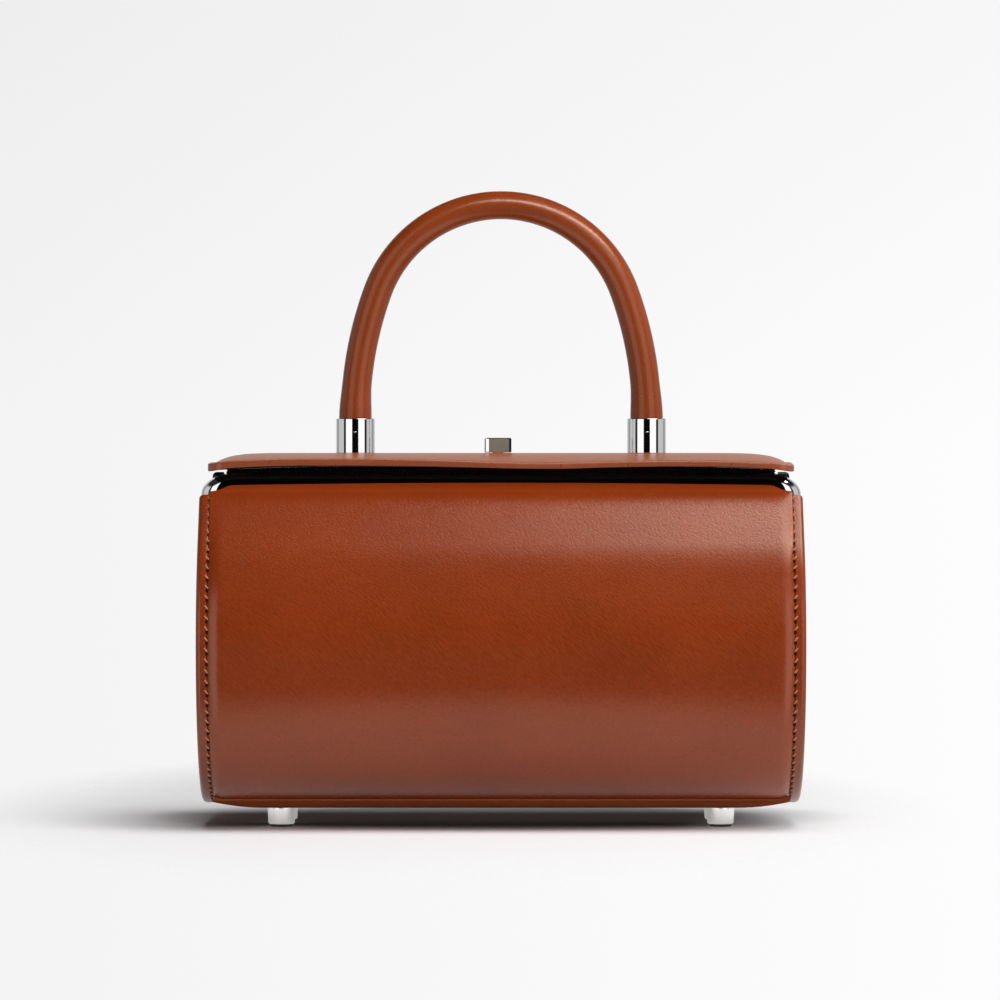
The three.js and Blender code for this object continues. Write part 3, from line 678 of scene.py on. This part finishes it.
pin_half = [
    (PIN_HEAD_FROM, PIN_RADIUS),
    (PIN_HEAD_FROM, PIN_HEAD_RADIUS - PIN_HEAD_BEVEL),
    (PIN_HEAD_FROM + PIN_HEAD_BEVEL, PIN_HEAD_RADIUS),
]
for a in np.linspace(0, math.pi / 2, 8)[:-1]:
    pin_half.append((PIN_HEAD_TO - PIN_HEAD_RADIUS * (1 - math.sin(a)), PIN_HEAD_RADIUS * math.cos(a)))
pin_stations = [(-x, r) for x, r in reversed(pin_half)] + pin_half
pin = cut_piece("hinge_pin_rod", *hinge_bar(pin_stations), [shade_black_steel])
fit(pin, "body", "bright_metal", "hinge_pin")


# Lid
# The lid is a stiff board with leather over a low dome of padding, flat along a narrow border. Its raw edge
# is burnished and waxed, and its front lip dips a little at the middle, where a hand lifts it.

LID_HALF_X = 107.0
LID_HALF_Y = 33.8
LID_CENTRE = -4.2
LID_CORNER = 6.0
LID_CREST = 137.5
LID_CREST_DROP = 3.45
LID_BORDER = 2.2
LID_CREST_EASE = 5.0
LID_BACK_TOP = 135.2
LID_BACK_THICK = 2.9
LID_BACK_DROP = 1.4
BACK_DROP_START = 60.0
LIP_UNDERSIDE = 132.75
LIP_DIP = 0.95
LIP_DIP_AT = 17.0
LIP_DIP_REACH = (38.0, 24.0)
LIP_TILT = 0.25
LIP_TILT_REACH = 60.0
LIP_END_DROP = 1.35
LIP_FALL_START = 70.0
LIP_FALL_RUN = 35.0
LIP_CORNER_DROOP = 0.6
LIP_DROOP_START = 98.0
LIP_THICK = (2.4, 1.8)
LIP_PARED = (-50.0, 15.0)
LIP_END_THICKER = 0.45
LIP_THICKER_START = 90.0
LID_EDGE_ROUND = 0.4
LID_SEAM_INSET = 2.3
LID_SEAM_DEPTH = 0.16
LID_SEAM_WIDTH = 0.42
LID_WAXED_RINGS = 3
LID_UNDER_INSETS = (30, 24, 18, 12, 7, 3)
LID_TOP_INSETS = (
    0.9, 1.3, 1.6, 1.85, 2.05, 2.2, 2.4, 2.6, 2.8, 3.1, 3.5, 4.2, 5.2, 7, 9, 12, 15, 18, 21, 24, 27, 30,
)
LID_TAN_WITH_PAINTED_LIGHT = (0.225, 0.056, 0.017)
EDGE_BROWN = (0.18, 0.04, 0.014)
SHADE_BLACK_LINING = (0.004, 0.0025, 0.002)

# The lid's calf is a lighter copy of the panels' calf: painted light on its upward-facing top.
lid_calf_painted_light = leather("lid_calf_painted_light", LID_TAN_WITH_PAINTED_LIGHT, gloss=0.34, grain=0.3)
burnished = leather("burnished_edge", EDGE_BROWN, gloss=0.28, grain=0.5)
# A nearly black lining under the lid: painted shade in the gap between the lid and the frame.
shade_black_lining = suede("shade_black_lining", SHADE_BLACK_LINING, sheen=0.0)


def lip_underside(x):
    """The lower edge of the lid's front lip: dipping near the middle and falling to both ends."""
    dip = LIP_DIP * np.exp(-((x - LIP_DIP_AT) / np.where(x < LIP_DIP_AT, *LIP_DIP_REACH)) ** 2)
    tilt = LIP_TILT * smooth_step(x, -LIP_TILT_REACH, LIP_TILT_REACH)
    fall = LIP_END_DROP * (np.clip(np.abs(x) - LIP_FALL_START, 0, None) / LIP_FALL_RUN) ** 2
    droop = LIP_CORNER_DROOP * smooth_step(np.abs(x), LIP_DROOP_START, LID_HALF_X)
    return LIP_UNDERSIDE - dip - tilt - fall - droop


def lip_thickness(x):
    """The lid's thickness along its front edge, which was pared thinner to the right."""
    pared = LIP_THICK[0] + (LIP_THICK[1] - LIP_THICK[0]) * smooth_step(x, *LIP_PARED)
    return pared + LIP_END_THICKER * smooth_step(np.abs(x), LIP_THICKER_START, LID_HALF_X)


def back_top(x):
    """The top of the lid's back edge."""
    to_end = np.clip((np.abs(x) - BACK_DROP_START) / (LID_HALF_X - BACK_DROP_START), 0, 1)
    return LID_BACK_TOP - LID_BACK_DROP * to_end ** 2


def lid_top(x, y):
    """The lid's top face: arched from front to back, with a flat border at both ends."""
    from_border = np.clip(LID_HALF_X - np.abs(x) - LID_BORDER, 0, None)
    crest = LID_CREST - LID_CREST_DROP * np.exp(-from_border / LID_CREST_EASE)
    share = (y - LID_CENTRE) / LID_HALF_Y
    edge = np.where(share < 0, lip_underside(x) + lip_thickness(x), back_top(x))
    return crest + (edge - crest) * share ** 2


def lid_thickness(x, y):
    """The lid's thickness, pared down towards its front lip."""
    to_front = smooth_step((LID_CENTRE - y) / LID_HALF_Y, 0.0, 1.0)
    return LID_BACK_THICK + (lip_thickness(x) - LID_BACK_THICK) * to_front


def lid_ring(inset, share, sunk=0.0):
    """One ring of the lid: drawn in from its edge, at a share of its thickness."""
    plan = plan_loop(LID_HALF_X - inset, LID_HALF_Y - inset, max(LID_CORNER - inset, 0.8), LID_CENTRE,
                     corner=14, long=120, short=44)
    x, y = plan[:, 0], plan[:, 1]
    return np.c_[plan, lid_top(x, y) - lid_thickness(x, y) * (1 - share) - sunk]


turn = np.linspace(0, math.pi / 2, 6)
round_share = LID_EDGE_ROUND / LID_BACK_THICK
lid_rings = [lid_ring(inset, 0.0) for inset in LID_UNDER_INSETS]
eased_edge = [(LID_EDGE_ROUND * (1 - math.sin(a)), round_share * (1 - math.cos(a))) for a in turn]
lid_rings += [lid_ring(inset, share) for inset, share in eased_edge]
edge_from = len(lid_rings) - LID_WAXED_RINGS
lid_rings += [lid_ring(inset, 1 - share) for inset, share in reversed(eased_edge)]
edge_to = len(lid_rings)
for inset in LID_TOP_INSETS:
    pressed = LID_SEAM_DEPTH * math.exp(-((inset - LID_SEAM_INSET) / LID_SEAM_WIDTH) ** 2)
    lid_rings.append(lid_ring(inset, 1.0, pressed))
points, faces = closed_stack(lid_rings)
around = len(lid_rings[0])
lid_finish = []
for ring in range(len(lid_rings) - 1):
    lid_finish += [2 if ring < edge_from else 1 if ring < edge_to else 0] * around
lid_finish += [2, 0]
lid = cut_piece("lid_leather", points, faces, [lid_calf_painted_light, burnished, shade_black_lining], lid_finish)
fit(lid, "lid", "leather", "lid")


# Lid stitching
# Short stitches of the same thread lie in the pressed seam line round the lid's top. They hold the leather to
# the board, with a small awl hole between each two, its shade painted as a small dark bead.

LID_STITCH_PITCH = 2.95
LID_STITCH_LENGTH = 2.05
LID_THREAD = (0.27, 0.2)
LID_HOLE = (0.42, 0.3, 0.06)
LID_HOLE_SUNK = 0.05
SLOPE_STEP = 0.3

seam = plan_loop(LID_HALF_X - LID_SEAM_INSET, LID_HALF_Y - LID_SEAM_INSET, LID_CORNER - LID_SEAM_INSET,
                 LID_CENTRE, corner=30, long=400, short=140)
seam = np.concatenate([seam, seam[:1]])
seam_at, seam_heading = along_line(seam, LID_STITCH_PITCH)
lid_stitches, lid_holes = [], []
for (x, y), (run_x, run_y) in zip(seam_at, seam_heading):
    z = lid_top(x, y) - LID_SEAM_DEPTH
    step_x, step_y = SLOPE_STEP * run_x, SLOPE_STEP * run_y
    rise = (lid_top(x + step_x, y + step_y) - lid_top(x - step_x, y - step_y)) / (2 * SLOPE_STEP)
    along = np.array([run_x, run_y, rise]) / math.hypot(1.0, rise)
    out = np.array([0.0, 0.0, 1.0])
    level = np.array([-run_y, run_x, 0.0])
    lid_stitches.append(bead(np.array([x, y, z]), along, level, out, LID_STITCH_LENGTH / 2, *LID_THREAD))
    hole_at = np.array([x, y, z - LID_HOLE_SUNK]) + along * LID_STITCH_PITCH / 2
    lid_holes.append(bead(hole_at, along, level, out, *LID_HOLE))
lid_thread = cut_piece("lid_stitching", *joined(lid_stitches), [thread])
fit(lid_thread, "lid", "leather")
lid_hole_shades = cut_piece("lid_stitch_hole_shades", *joined(lid_holes), [awl_hole_shade])
fit(lid_hole_shades, "lid", "leather")


# Hinge leaf
# A thin metal leaf is riveted under the back of the lid, its plate nearly black as painted shade under the
# lid.
# Its bright rear edge turns down as a lip that closes the gap above the frame, and two webs behind the lid
# carry its knuckles.

LEAF_TOP = 131.85
LEAF_THICK = 0.75
LEAF_FRONT = 17.0
LEAF_HALF_X = 70.0
LEAF_CLEAR = 0.35
LEAF_BACK = HINGE_Y - KNUCKLE_RADIUS - LEAF_CLEAR
SHUT_LIP_HALF_X = 102.8
SHUT_LIP_FOOT = 128.95
SHUT_LIP_THICK = 0.9
SHUT_LIP_LAP = 0.05
WEB_HALF = 0.9
WEB_LAP = 0.8
WEB_INSET = 0.06


def shut_lip():
    """The lip along the leaf's rear edge, its top following the lid's underside."""
    loops = []
    for x in np.linspace(-SHUT_LIP_HALF_X, SHUT_LIP_HALF_X, 61):
        top = back_top(x) - LID_BACK_THICK + SHUT_LIP_LAP
        front, back = LEAF_BACK - SHUT_LIP_THICK, LEAF_BACK
        loops.append([(x, front, SHUT_LIP_FOOT), (x, back, SHUT_LIP_FOOT), (x, back, top), (x, front, top)])
    return closed_stack(loops)


leaf_foot = LEAF_TOP - LEAF_THICK
leaf_parts = [plate((-LEAF_HALF_X, LEAF_HALF_X), (LEAF_FRONT, LEAF_BACK), (leaf_foot, LEAF_TOP)), shut_lip()]
for x0, x1 in LID_KNUCKLES:
    span = (x0 + KNUCKLE_GAP / 2, x1 - KNUCKLE_GAP / 2)
    web_back = HINGE_Y + WEB_HALF
    leaf_parts.append(knuckle(*span))
    leaf_parts.append(plate(span, (HINGE_Y - WEB_HALF, web_back), (HINGE_Z, LEAF_TOP)))
    bridge_z = (leaf_foot + WEB_INSET, LEAF_TOP - WEB_INSET)
    leaf_parts.append(plate(span, (LEAF_BACK - WEB_LAP, web_back), bridge_z))
# The leaf's plate takes the nearly black steel as painted shade; its lip, knuckles and webs are bright.
leaf_finish = [1] * len(leaf_parts[0][1]) + [0] * sum(len(part[1]) for part in leaf_parts[1:])
leaf = cut_piece("hinge_leaf_plate", *joined(leaf_parts), [chrome, shade_black_steel], leaf_finish)
fit(leaf, "lid", "bright_metal", "hinge_leaf")


# Ferrules
# Two polished metal cups stand on the lid, each screwed down from below, and hold the ends of the handle. A
# fine pin through the front of each cup keeps the handle in it.

HANDLE_HALF_SPAN = 53.8
FERRULE_RADIUS = 7.15
FERRULE_PROFILE = [
    (0.6, 137.3), (6.95, 137.3), (7.08, 137.36), (7.15, 137.5), (7.15, 137.6), (7.15, 149.8), (7.15, 149.9),
    (7.1, 150.05), (6.98, 150.16), (6.8, 150.2), (6.45, 150.2), (6.35, 150.1), (6.3, 149.9), (6.3, 149.7),
    (6.3, 144.2), (0.6, 144.2),
]
FERRULE_SIDES = 96
PIN_DOT_Z = 145.2
PIN_DOT_HALF = (0.5, 0.3, 0.16)

for side_name, side in (("left", -1), ("right", 1)):
    where = (side * HANDLE_HALF_SPAN, LID_CENTRE, 0.0)
    front = np.array([side * HANDLE_HALF_SPAN, LID_CENTRE - FERRULE_RADIUS, PIN_DOT_Z])
    axes = np.eye(3)
    dot = bead(front, axes[0], axes[2], -axes[1], *PIN_DOT_HALF)
    cup = turned(FERRULE_PROFILE, where, FERRULE_SIDES)
    ferrule = cut_piece(f"ferrule_cup_{side_name}", *joined([cup, dot]), [chrome])
    fit(ferrule, "lid", "bright_metal", f"ferrule_{side_name}")


# Handle
# The handle is a rolled core wrapped in one strip of calf, its seam closed along the inside of the arch. Its
# ends swell a little and are pushed down into the ferrules.

HANDLE_SPRING = 150.2
HANDLE_APEX = 229.0
CROWN_RADIUS = 48.5
CROWN_TUBE = 5.2
LEG_TUBE = 5.5
END_TUBE = 6.05
FLARE_LENGTH = 14.0
SOCKET_DEPTH = 5.6
HANDLE_SEAM_DEPTH = 0.16
HANDLE_SEAM_WIDTH = 0.07
HANDLE_STATIONS = 150
HANDLE_SIDES = 64
HANDLE_TAN = (0.168, 0.0275, 0.0042)

handle_calf = leather("handle_calf", HANDLE_TAN, gloss=0.25, grain=0.25, wax=0.38)


def handle_line(stations):
    """The arch's centreline: points, headings and runs along a crown arc and a flatter arc down each leg."""
    rise = HANDLE_APEX - HANDLE_SPRING
    half = 2 * math.atan((rise - CROWN_RADIUS) / (HANDLE_HALF_SPAN - CROWN_RADIUS)) - math.pi / 2
    leg_radius = CROWN_RADIUS + (rise - CROWN_RADIUS) / math.cos(half)
    leg_angle = math.pi / 2 - half
    lengths = np.array([SOCKET_DEPTH, leg_radius * leg_angle, CROWN_RADIUS * half])
    run = np.linspace(0, lengths.sum(), stations)
    points, headings = [], []
    for s in run:
        if s < lengths[0]:
            x, z, turn_in = -HANDLE_HALF_SPAN, HANDLE_SPRING - SOCKET_DEPTH + s, 0.0
        elif s < lengths[0] + lengths[1]:
            turn_in = (s - lengths[0]) / leg_radius
            x = -HANDLE_HALF_SPAN + leg_radius * (1 - math.cos(turn_in))
            z = HANDLE_SPRING + leg_radius * math.sin(turn_in)
        else:
            turn_in = leg_angle + (s - lengths[0] - lengths[1]) / CROWN_RADIUS
            x = -CROWN_RADIUS * math.cos(turn_in)
            z = HANDLE_APEX - CROWN_RADIUS + CROWN_RADIUS * math.sin(turn_in)
        points.append((x, z))
        headings.append((math.sin(turn_in), math.cos(turn_in)))
    points, headings = np.array(points), np.array(headings)
    mirrored, mirrored_heading = points[-2::-1] * (-1, 1), headings[-2::-1] * (1, -1)
    run = np.concatenate([run, run[-2::-1]])
    points, headings = np.concatenate([points, mirrored]), np.concatenate([headings, mirrored_heading])
    return points, headings, run / lengths.sum(), run


arch, arch_heading, arch_share, arch_run = handle_line(HANDLE_STATIONS)
tube_angle = np.linspace(0, 2 * math.pi, HANDLE_SIDES, endpoint=False)
inner_seam = HANDLE_SEAM_DEPTH * np.exp(-((tube_angle - math.pi) / HANDLE_SEAM_WIDTH) ** 2)
handle_loops = []
for (x, z), (run_x, run_z), share, run in zip(arch, arch_heading, arch_share, arch_run):
    tube = LEG_TUBE + (CROWN_TUBE - LEG_TUBE) * share
    past_flare = smooth_step(run, SOCKET_DEPTH, SOCKET_DEPTH + FLARE_LENGTH)
    radius = END_TUBE + (tube - END_TUBE) * past_flare - inner_seam
    outward = radius * np.cos(tube_angle)
    ring = np.c_[x - outward * run_z, LID_CENTRE + radius * np.sin(tube_angle), z + outward * run_x]
    handle_loops.append(ring)
handle = cut_piece("handle_leather", *closed_stack(handle_loops), [handle_calf])
fit(handle, "lid", "handle_leather", "handle_grip")


# Lock knob
# A small steel block turns on a spindle through the lid and works the catch. Its faces are satin, and all
# its bevels are polished.

KNOB_X = -1.1
KNOB_FOOT = 137.6
KNOB_HALF = (4.75, 2.3)
KNOB_HEIGHT = 5.45
KNOB_BEVEL = (1.0, 0.45)
KNOB_TOP_BEVEL = 0.35
KNOB_FOOT_BEVEL = 0.3
KNOB_TURN = math.radians(8)
SPINDLE_RADIUS = 2.0
SPINDLE_LENGTH = 4.0
SPINDLE_BEVEL = 0.2
SPINDLE_TOP = 0.6
SPINDLE_FLAT = 0.4
SPINDLE_SIDES = 40
KNOB_GREY = (0.2, 0.19, 0.16)

knob_steel = metal("knob_steel", KNOB_GREY, 0.42, brushed=(0.3, 1.0, 3.0), scratch=0.08, bare=0.55)


def knob_ring(inset, z):
    """One ring of the knob's block: a rectangle with cut corners, turned on its spindle."""
    half_x, half_y = KNOB_HALF[0] - inset, KNOB_HALF[1] - inset
    plan = []
    for sx, sy, swapped in ((1, 1, 0), (-1, 1, 1), (-1, -1, 0), (1, -1, 1)):
        corner = [(sx * half_x, sy * (half_y - KNOB_BEVEL[1])), (sx * (half_x - KNOB_BEVEL[0]), sy * half_y)]
        plan += corner[::-1] if swapped else corner
    c, s = math.cos(KNOB_TURN), math.sin(KNOB_TURN)
    spun = np.array(plan) @ np.array([[c, s], [-s, c]])
    return np.c_[spun + (KNOB_X, LID_CENTRE), np.full(len(spun), KNOB_FOOT + z)]


block = closed_stack([
    knob_ring(KNOB_FOOT_BEVEL, 0), knob_ring(0.0, KNOB_FOOT_BEVEL),
    knob_ring(0.0, KNOB_HEIGHT - KNOB_TOP_BEVEL), knob_ring(KNOB_TOP_BEVEL, KNOB_HEIGHT),
])
spindle_profile = [
    (SPINDLE_FLAT, -SPINDLE_LENGTH), (SPINDLE_RADIUS - SPINDLE_BEVEL, -SPINDLE_LENGTH),
    (SPINDLE_RADIUS, SPINDLE_BEVEL - SPINDLE_LENGTH), (SPINDLE_RADIUS, SPINDLE_TOP),
    (SPINDLE_FLAT, SPINDLE_TOP),
]
spindle = turned(spindle_profile, (KNOB_X, LID_CENTRE, KNOB_FOOT), SPINDLE_SIDES)
# From the foot up: bevel, sides and cut corners, bevel, both ends, spindle.
knob_finish = [1] * 8 + [1, 0] * 4 + [1] * 8 + [0, 0] + [0] * len(spindle[1])
knob = cut_piece("knob_block", *joined([block, spindle]), [knob_steel, chrome], knob_finish, crisp_deg=15)
fit(knob, "lock", "satin_metal", "lock_knob")


# Studio
# The bag stands on white paper that runs out into a pale surround. Soft light comes from above and from the
# front right, graded strips overhead are mirrored in the leather, and the room behind the camera is dark.

CAMERA_PLACE = (-0.00037, -2.2106, 0.1404)
CAMERA_PITCH = math.radians(0.528)
CAMERA_LENS = 214.85
PAPER_WHITE = (0.86, 0.856, 0.868, 1.0)
SURROUND_WHITE = (0.998, 0.994, 1.0, 1.0)
HALF_MIRRORED = 0.5
FLOOR_RINGS = (400.0, 1500.0, 4000.0)
FLOOR_SIDES = 96

floor_points = [(0.0, 0.0, 0.0)]
for radius in FLOOR_RINGS:
    for a in np.linspace(0, 2 * math.pi, FLOOR_SIDES, endpoint=False):
        floor_points.append((radius * math.cos(a), radius * math.sin(a), 0.0))
floor_faces = [[0, 1 + k, 1 + (k + 1) % FLOOR_SIDES] for k in range(FLOOR_SIDES)]
floor_faces += grid_faces(len(FLOOR_RINGS), FLOOR_SIDES, ring=True, first=1)

floor_paper, add, surface = new_finish("floor_paper")
floor_place = add("NewGeometry").outputs["Position"]
path = add("LightPath")
eased = {"interpolation_type": "SMOOTHSTEP"}
multiplied = {"data_type": "RGBA", "blend_type": "MULTIPLY"}


def run_over(shift, scale):
    """How far a place on the paper lies from the middle of an oval."""
    oval = add("Mapping", Vector=floor_place, Location=shift, Scale=scale)
    return add("VectorMath", {"operation": "LENGTH"}, {0: oval}).outputs["Value"]


# Under and behind the bag the paper is painted darker, a painted shadow, and it fades out into the surround.
painted_shadow_run = run_over((0.0, -0.045, 0.0), (0.7, 1.0, 1.0))
painted_shadow = add("MapRange", Value=painted_shadow_run, From_Min=0.06, From_Max=0.095, To_Min=0.3, To_Max=1.0)
paper_with_painted_shadow = add("Mix", multiplied, {6: PAPER_WHITE, 7: painted_shadow}, Factor=1.0)
matt = surface(Base_Color=paper_with_painted_shadow.outputs[2], Roughness=0.8, Specular_IOR_Level=0.1)
fade_run = run_over((0.022, -0.04, 0.0), (1.0, 0.45, 1.0))
far = add("MapRange", eased, Value=fade_run, From_Min=0.095, From_Max=0.205)
bounce = add("MapRange", Value=path.outputs["Is Diffuse Ray"], To_Min=0.95, To_Max=1.33)
glow = add("Emission", Color=SURROUND_WHITE, Strength=bounce)
beyond = add("MixShader", None, {0: path.outputs["Is Camera Ray"], 1: glow, 2: add("BsdfTransparent")})
paper = add("MixShader", None, {0: far, 1: matt, 2: beyond})

# In the leather and the metal, only the paper near the bag is mirrored, and half of it as plain pale light.
paper_run = run_over((0.0, 0.0, 0.0), (0.6, 1.0, 1.0))
past_edge = add("MapRange", eased, Value=paper_run, From_Min=0.085, From_Max=0.15)
toward_edge = add("MapRange", Value=paper_run, From_Min=0.03, From_Max=0.09, To_Min=0.74, To_Max=0.9)
near = add("MixShader", None, {0: HALF_MIRRORED, 1: add("Emission", Strength=toward_edge), 2: paper})
reflected = add("MixShader", None, {0: past_edge, 1: near, 2: add("BsdfTransparent")})
as_seen = add("MixShader", None, {0: path.outputs["Is Glossy Ray"], 1: paper, 2: reflected})
paper_tree = floor_paper.node_tree
paper_tree.links.new(as_seen.outputs[0], paper_tree.nodes["Material Output"].inputs["Surface"])
floor = cut_piece("floor", floor_points, floor_faces, [floor_paper])

AROUND = [
    (0, 0.001), (18, 0.001), (20, 1.0), (56, 1.0), (58, 0.02), (71, 0.02), (73, 0.5), (113, 0.5), (117, 0.28),
    (139, 0.28), (143, 0.52), (180, 0.52),
]
BOX_TOP = (math.sin(math.radians(26)), math.sin(math.radians(36)))
DARK_ABOVE = (0.02, 0.02, 0.02, 1.0)

world = bpy.data.worlds.new("studio")
world.use_nodes = True
world.node_tree.nodes.clear()
bpy.context.scene.world = world
add = shader_tools(world.node_tree)[0]

# The camera sees a pale surround, a little dimmer to the left and overhead.
heading = add("SeparateXYZ", Vector=add("TexCoord").outputs["Generated"])
toward_x, toward_y, toward_z = heading.outputs["X"], heading.outputs["Y"], heading.outputs["Z"]
across = add("MapRange", Value=toward_x, From_Min=-0.085, From_Max=0.085, To_Min=0.905, To_Max=0.985)
overhead = add("MapRange", Value=toward_z, From_Min=0.0, From_Max=0.08, To_Min=1.0, To_Max=0.945)
bright = add("Math", {"operation": "MULTIPLY"}, {0: across, 1: overhead})
backdrop = add("Background", Color=SURROUND_WHITE, Strength=bright)

# Bright surfaces mirror upright boxes and dark gaps, by their bearing from the camera's side of the room.
toward_camera = add("Math", {"operation": "MULTIPLY"}, {0: toward_y, 1: -1.0})
bearing = add("Math", {"operation": "ARCTAN2"}, {0: toward_x, 1: toward_camera})
turned_away = add("Math", {"operation": "ABSOLUTE"}, {0: bearing})
half_turn = add("MapRange", Value=turned_away, From_Min=0.0, From_Max=math.pi)
boxes = add("ValToRGB", Fac=half_turn)
stops = boxes.color_ramp.elements
while len(stops) < len(AROUND):
    stops.new(0.5)
for stop, (degrees, level) in zip(stops, AROUND):
    stop.position = degrees / 180
    stop.color = (level, level, level, 1.0)
above = add("MapRange", eased, Value=toward_z, From_Min=BOX_TOP[0], From_Max=BOX_TOP[1])
mirrored = add("Mix", {"data_type": "RGBA"}, {6: boxes, 7: DARK_ABOVE}, Factor=above)
in_mirror = add("Background", Color=mirrored.outputs[2], Strength=1.3)

ceiling = add("MapRange", eased, Value=toward_z, From_Min=0.3, From_Max=0.8, To_Min=0.03, To_Max=0.06)
fill = add("Background", Color=(1.0, 1.0, 1.0, 1.0), Strength=ceiling)
path = add("LightPath")
lit = add("MixShader", None, {0: path.outputs["Is Glossy Ray"], 1: fill, 2: in_mirror})
seen = add("MixShader", None, {0: path.outputs["Is Camera Ray"], 1: lit, 2: backdrop})
add("OutputWorld", Surface=seen)


def lit_group(name, pieces, left_out=False):
    """A group of pieces that a light is kept to, or that it leaves out."""
    group = bpy.data.collections.new(name)
    for piece in pieces:
        group.objects.link(piece)
    for entry in group.collection_objects:
        entry.light_linking.link_state = "EXCLUDE" if left_out else "INCLUDE"
    return group


def soft_box(name, place, aim, size, brightness, lights, mirrored=False, shading=True, shadowed=True):
    """A rectangular soft light of a given brightness that points at a place and doesn't show itself."""
    light = bpy.data.lights.new(name, "AREA")
    light.shape = "RECTANGLE"
    light.size, light.size_y = size
    light.energy = brightness * math.pi * size[0] * size[1]
    light.use_shadow = shadowed
    lamp = bpy.data.objects.new(name, light)
    bpy.context.scene.collection.objects.link(lamp)
    lamp.location = place
    lamp.rotation_euler = (Vector(aim) - Vector(place)).to_track_quat("-Z", "Y").to_euler()
    lamp.visible_camera = False
    lamp.visible_glossy = mirrored
    lamp.visible_diffuse = shading
    lamp.light_linking.receiver_collection = lights


paper_only = lit_group("paper_only", [floor])
all_but_paper = lit_group("all_but_paper", [floor], left_out=True)
handle_only = lit_group("handle_only", [handle])
all_but_handle = lit_group("all_but_handle", [handle], left_out=True)
panels_only = lit_group("panels_only", panels)

STRIP_X, STRIP_Z, STRIP_LENGTH = 0.74, 1.5, 1.25
OVERHEAD_STRIPS = ((7.4, -0.12, 0.4), (4.6, -0.385, 0.13), (2.0, -0.535, 0.17), (0.75, -0.735, 0.23))
FILL_SIZE = (1.4, 0.8)
BAG_FOOT, BAG_FRONT, BAG_MIDDLE = (0.0, 0.0, 0.0), (0.0, -0.1, 0.05), (0.0, 0.0, 0.1)

for number, (brightness, y, width) in enumerate(OVERHEAD_STRIPS, 1):
    soft_box(f"overhead_strip_{number}", (STRIP_X, y, STRIP_Z), (STRIP_X, y, 0.0), (STRIP_LENGTH, width),
             brightness, all_but_handle, mirrored=True, shading=False)
soft_box("handle_strip", (0.55, -0.95, 1.22), (0.0, 0.0, 0.2), (1.5, 0.3), 16.0, handle_only, mirrored=True,
         shading=False)
soft_box("key_box", (0.8, -1.2, 1.05), BAG_FRONT, (1.5, 1.1), 6.6, all_but_paper)
soft_box("left_box", (-0.9, -1.1, 0.9), (0.0, -0.1, 0.1), (0.95, 1.1), 0.2, all_but_paper)
soft_box("top_fill", (0.6, 0.0, 1.6), BAG_MIDDLE, FILL_SIZE, 7.8, all_but_paper, shadowed=False)
soft_box("back_fill", (0.2, 1.0, 1.4), BAG_MIDDLE, FILL_SIZE, 10.0, panels_only, shadowed=False)
soft_box("low_fill", (0.4, -0.6, -1.2), BAG_MIDDLE, FILL_SIZE, 1.9, panels_only, shadowed=False)
soft_box("paper_key", (0.2, -0.42, 1.5), BAG_FOOT, (1.0, 0.9), 7.6, paper_only)
soft_box("paper_side", (1.05, -0.9, 1.0), BAG_FOOT, (1.0, 0.8), 4.5, paper_only)

camera_data = bpy.data.cameras.new("camera")
camera_data.lens = CAMERA_LENS
camera_data.sensor_width = 36.0
camera_data.clip_end = 100.0
camera = bpy.data.objects.new("camera", camera_data)
bpy.context.scene.collection.objects.link(camera)
camera.location = CAMERA_PLACE
camera.rotation_euler = (math.pi / 2 - CAMERA_PITCH, 0.0, 0.0)
bpy.context.scene.camera = camera
bpy.context.scene.view_settings.view_transform = "Standard"
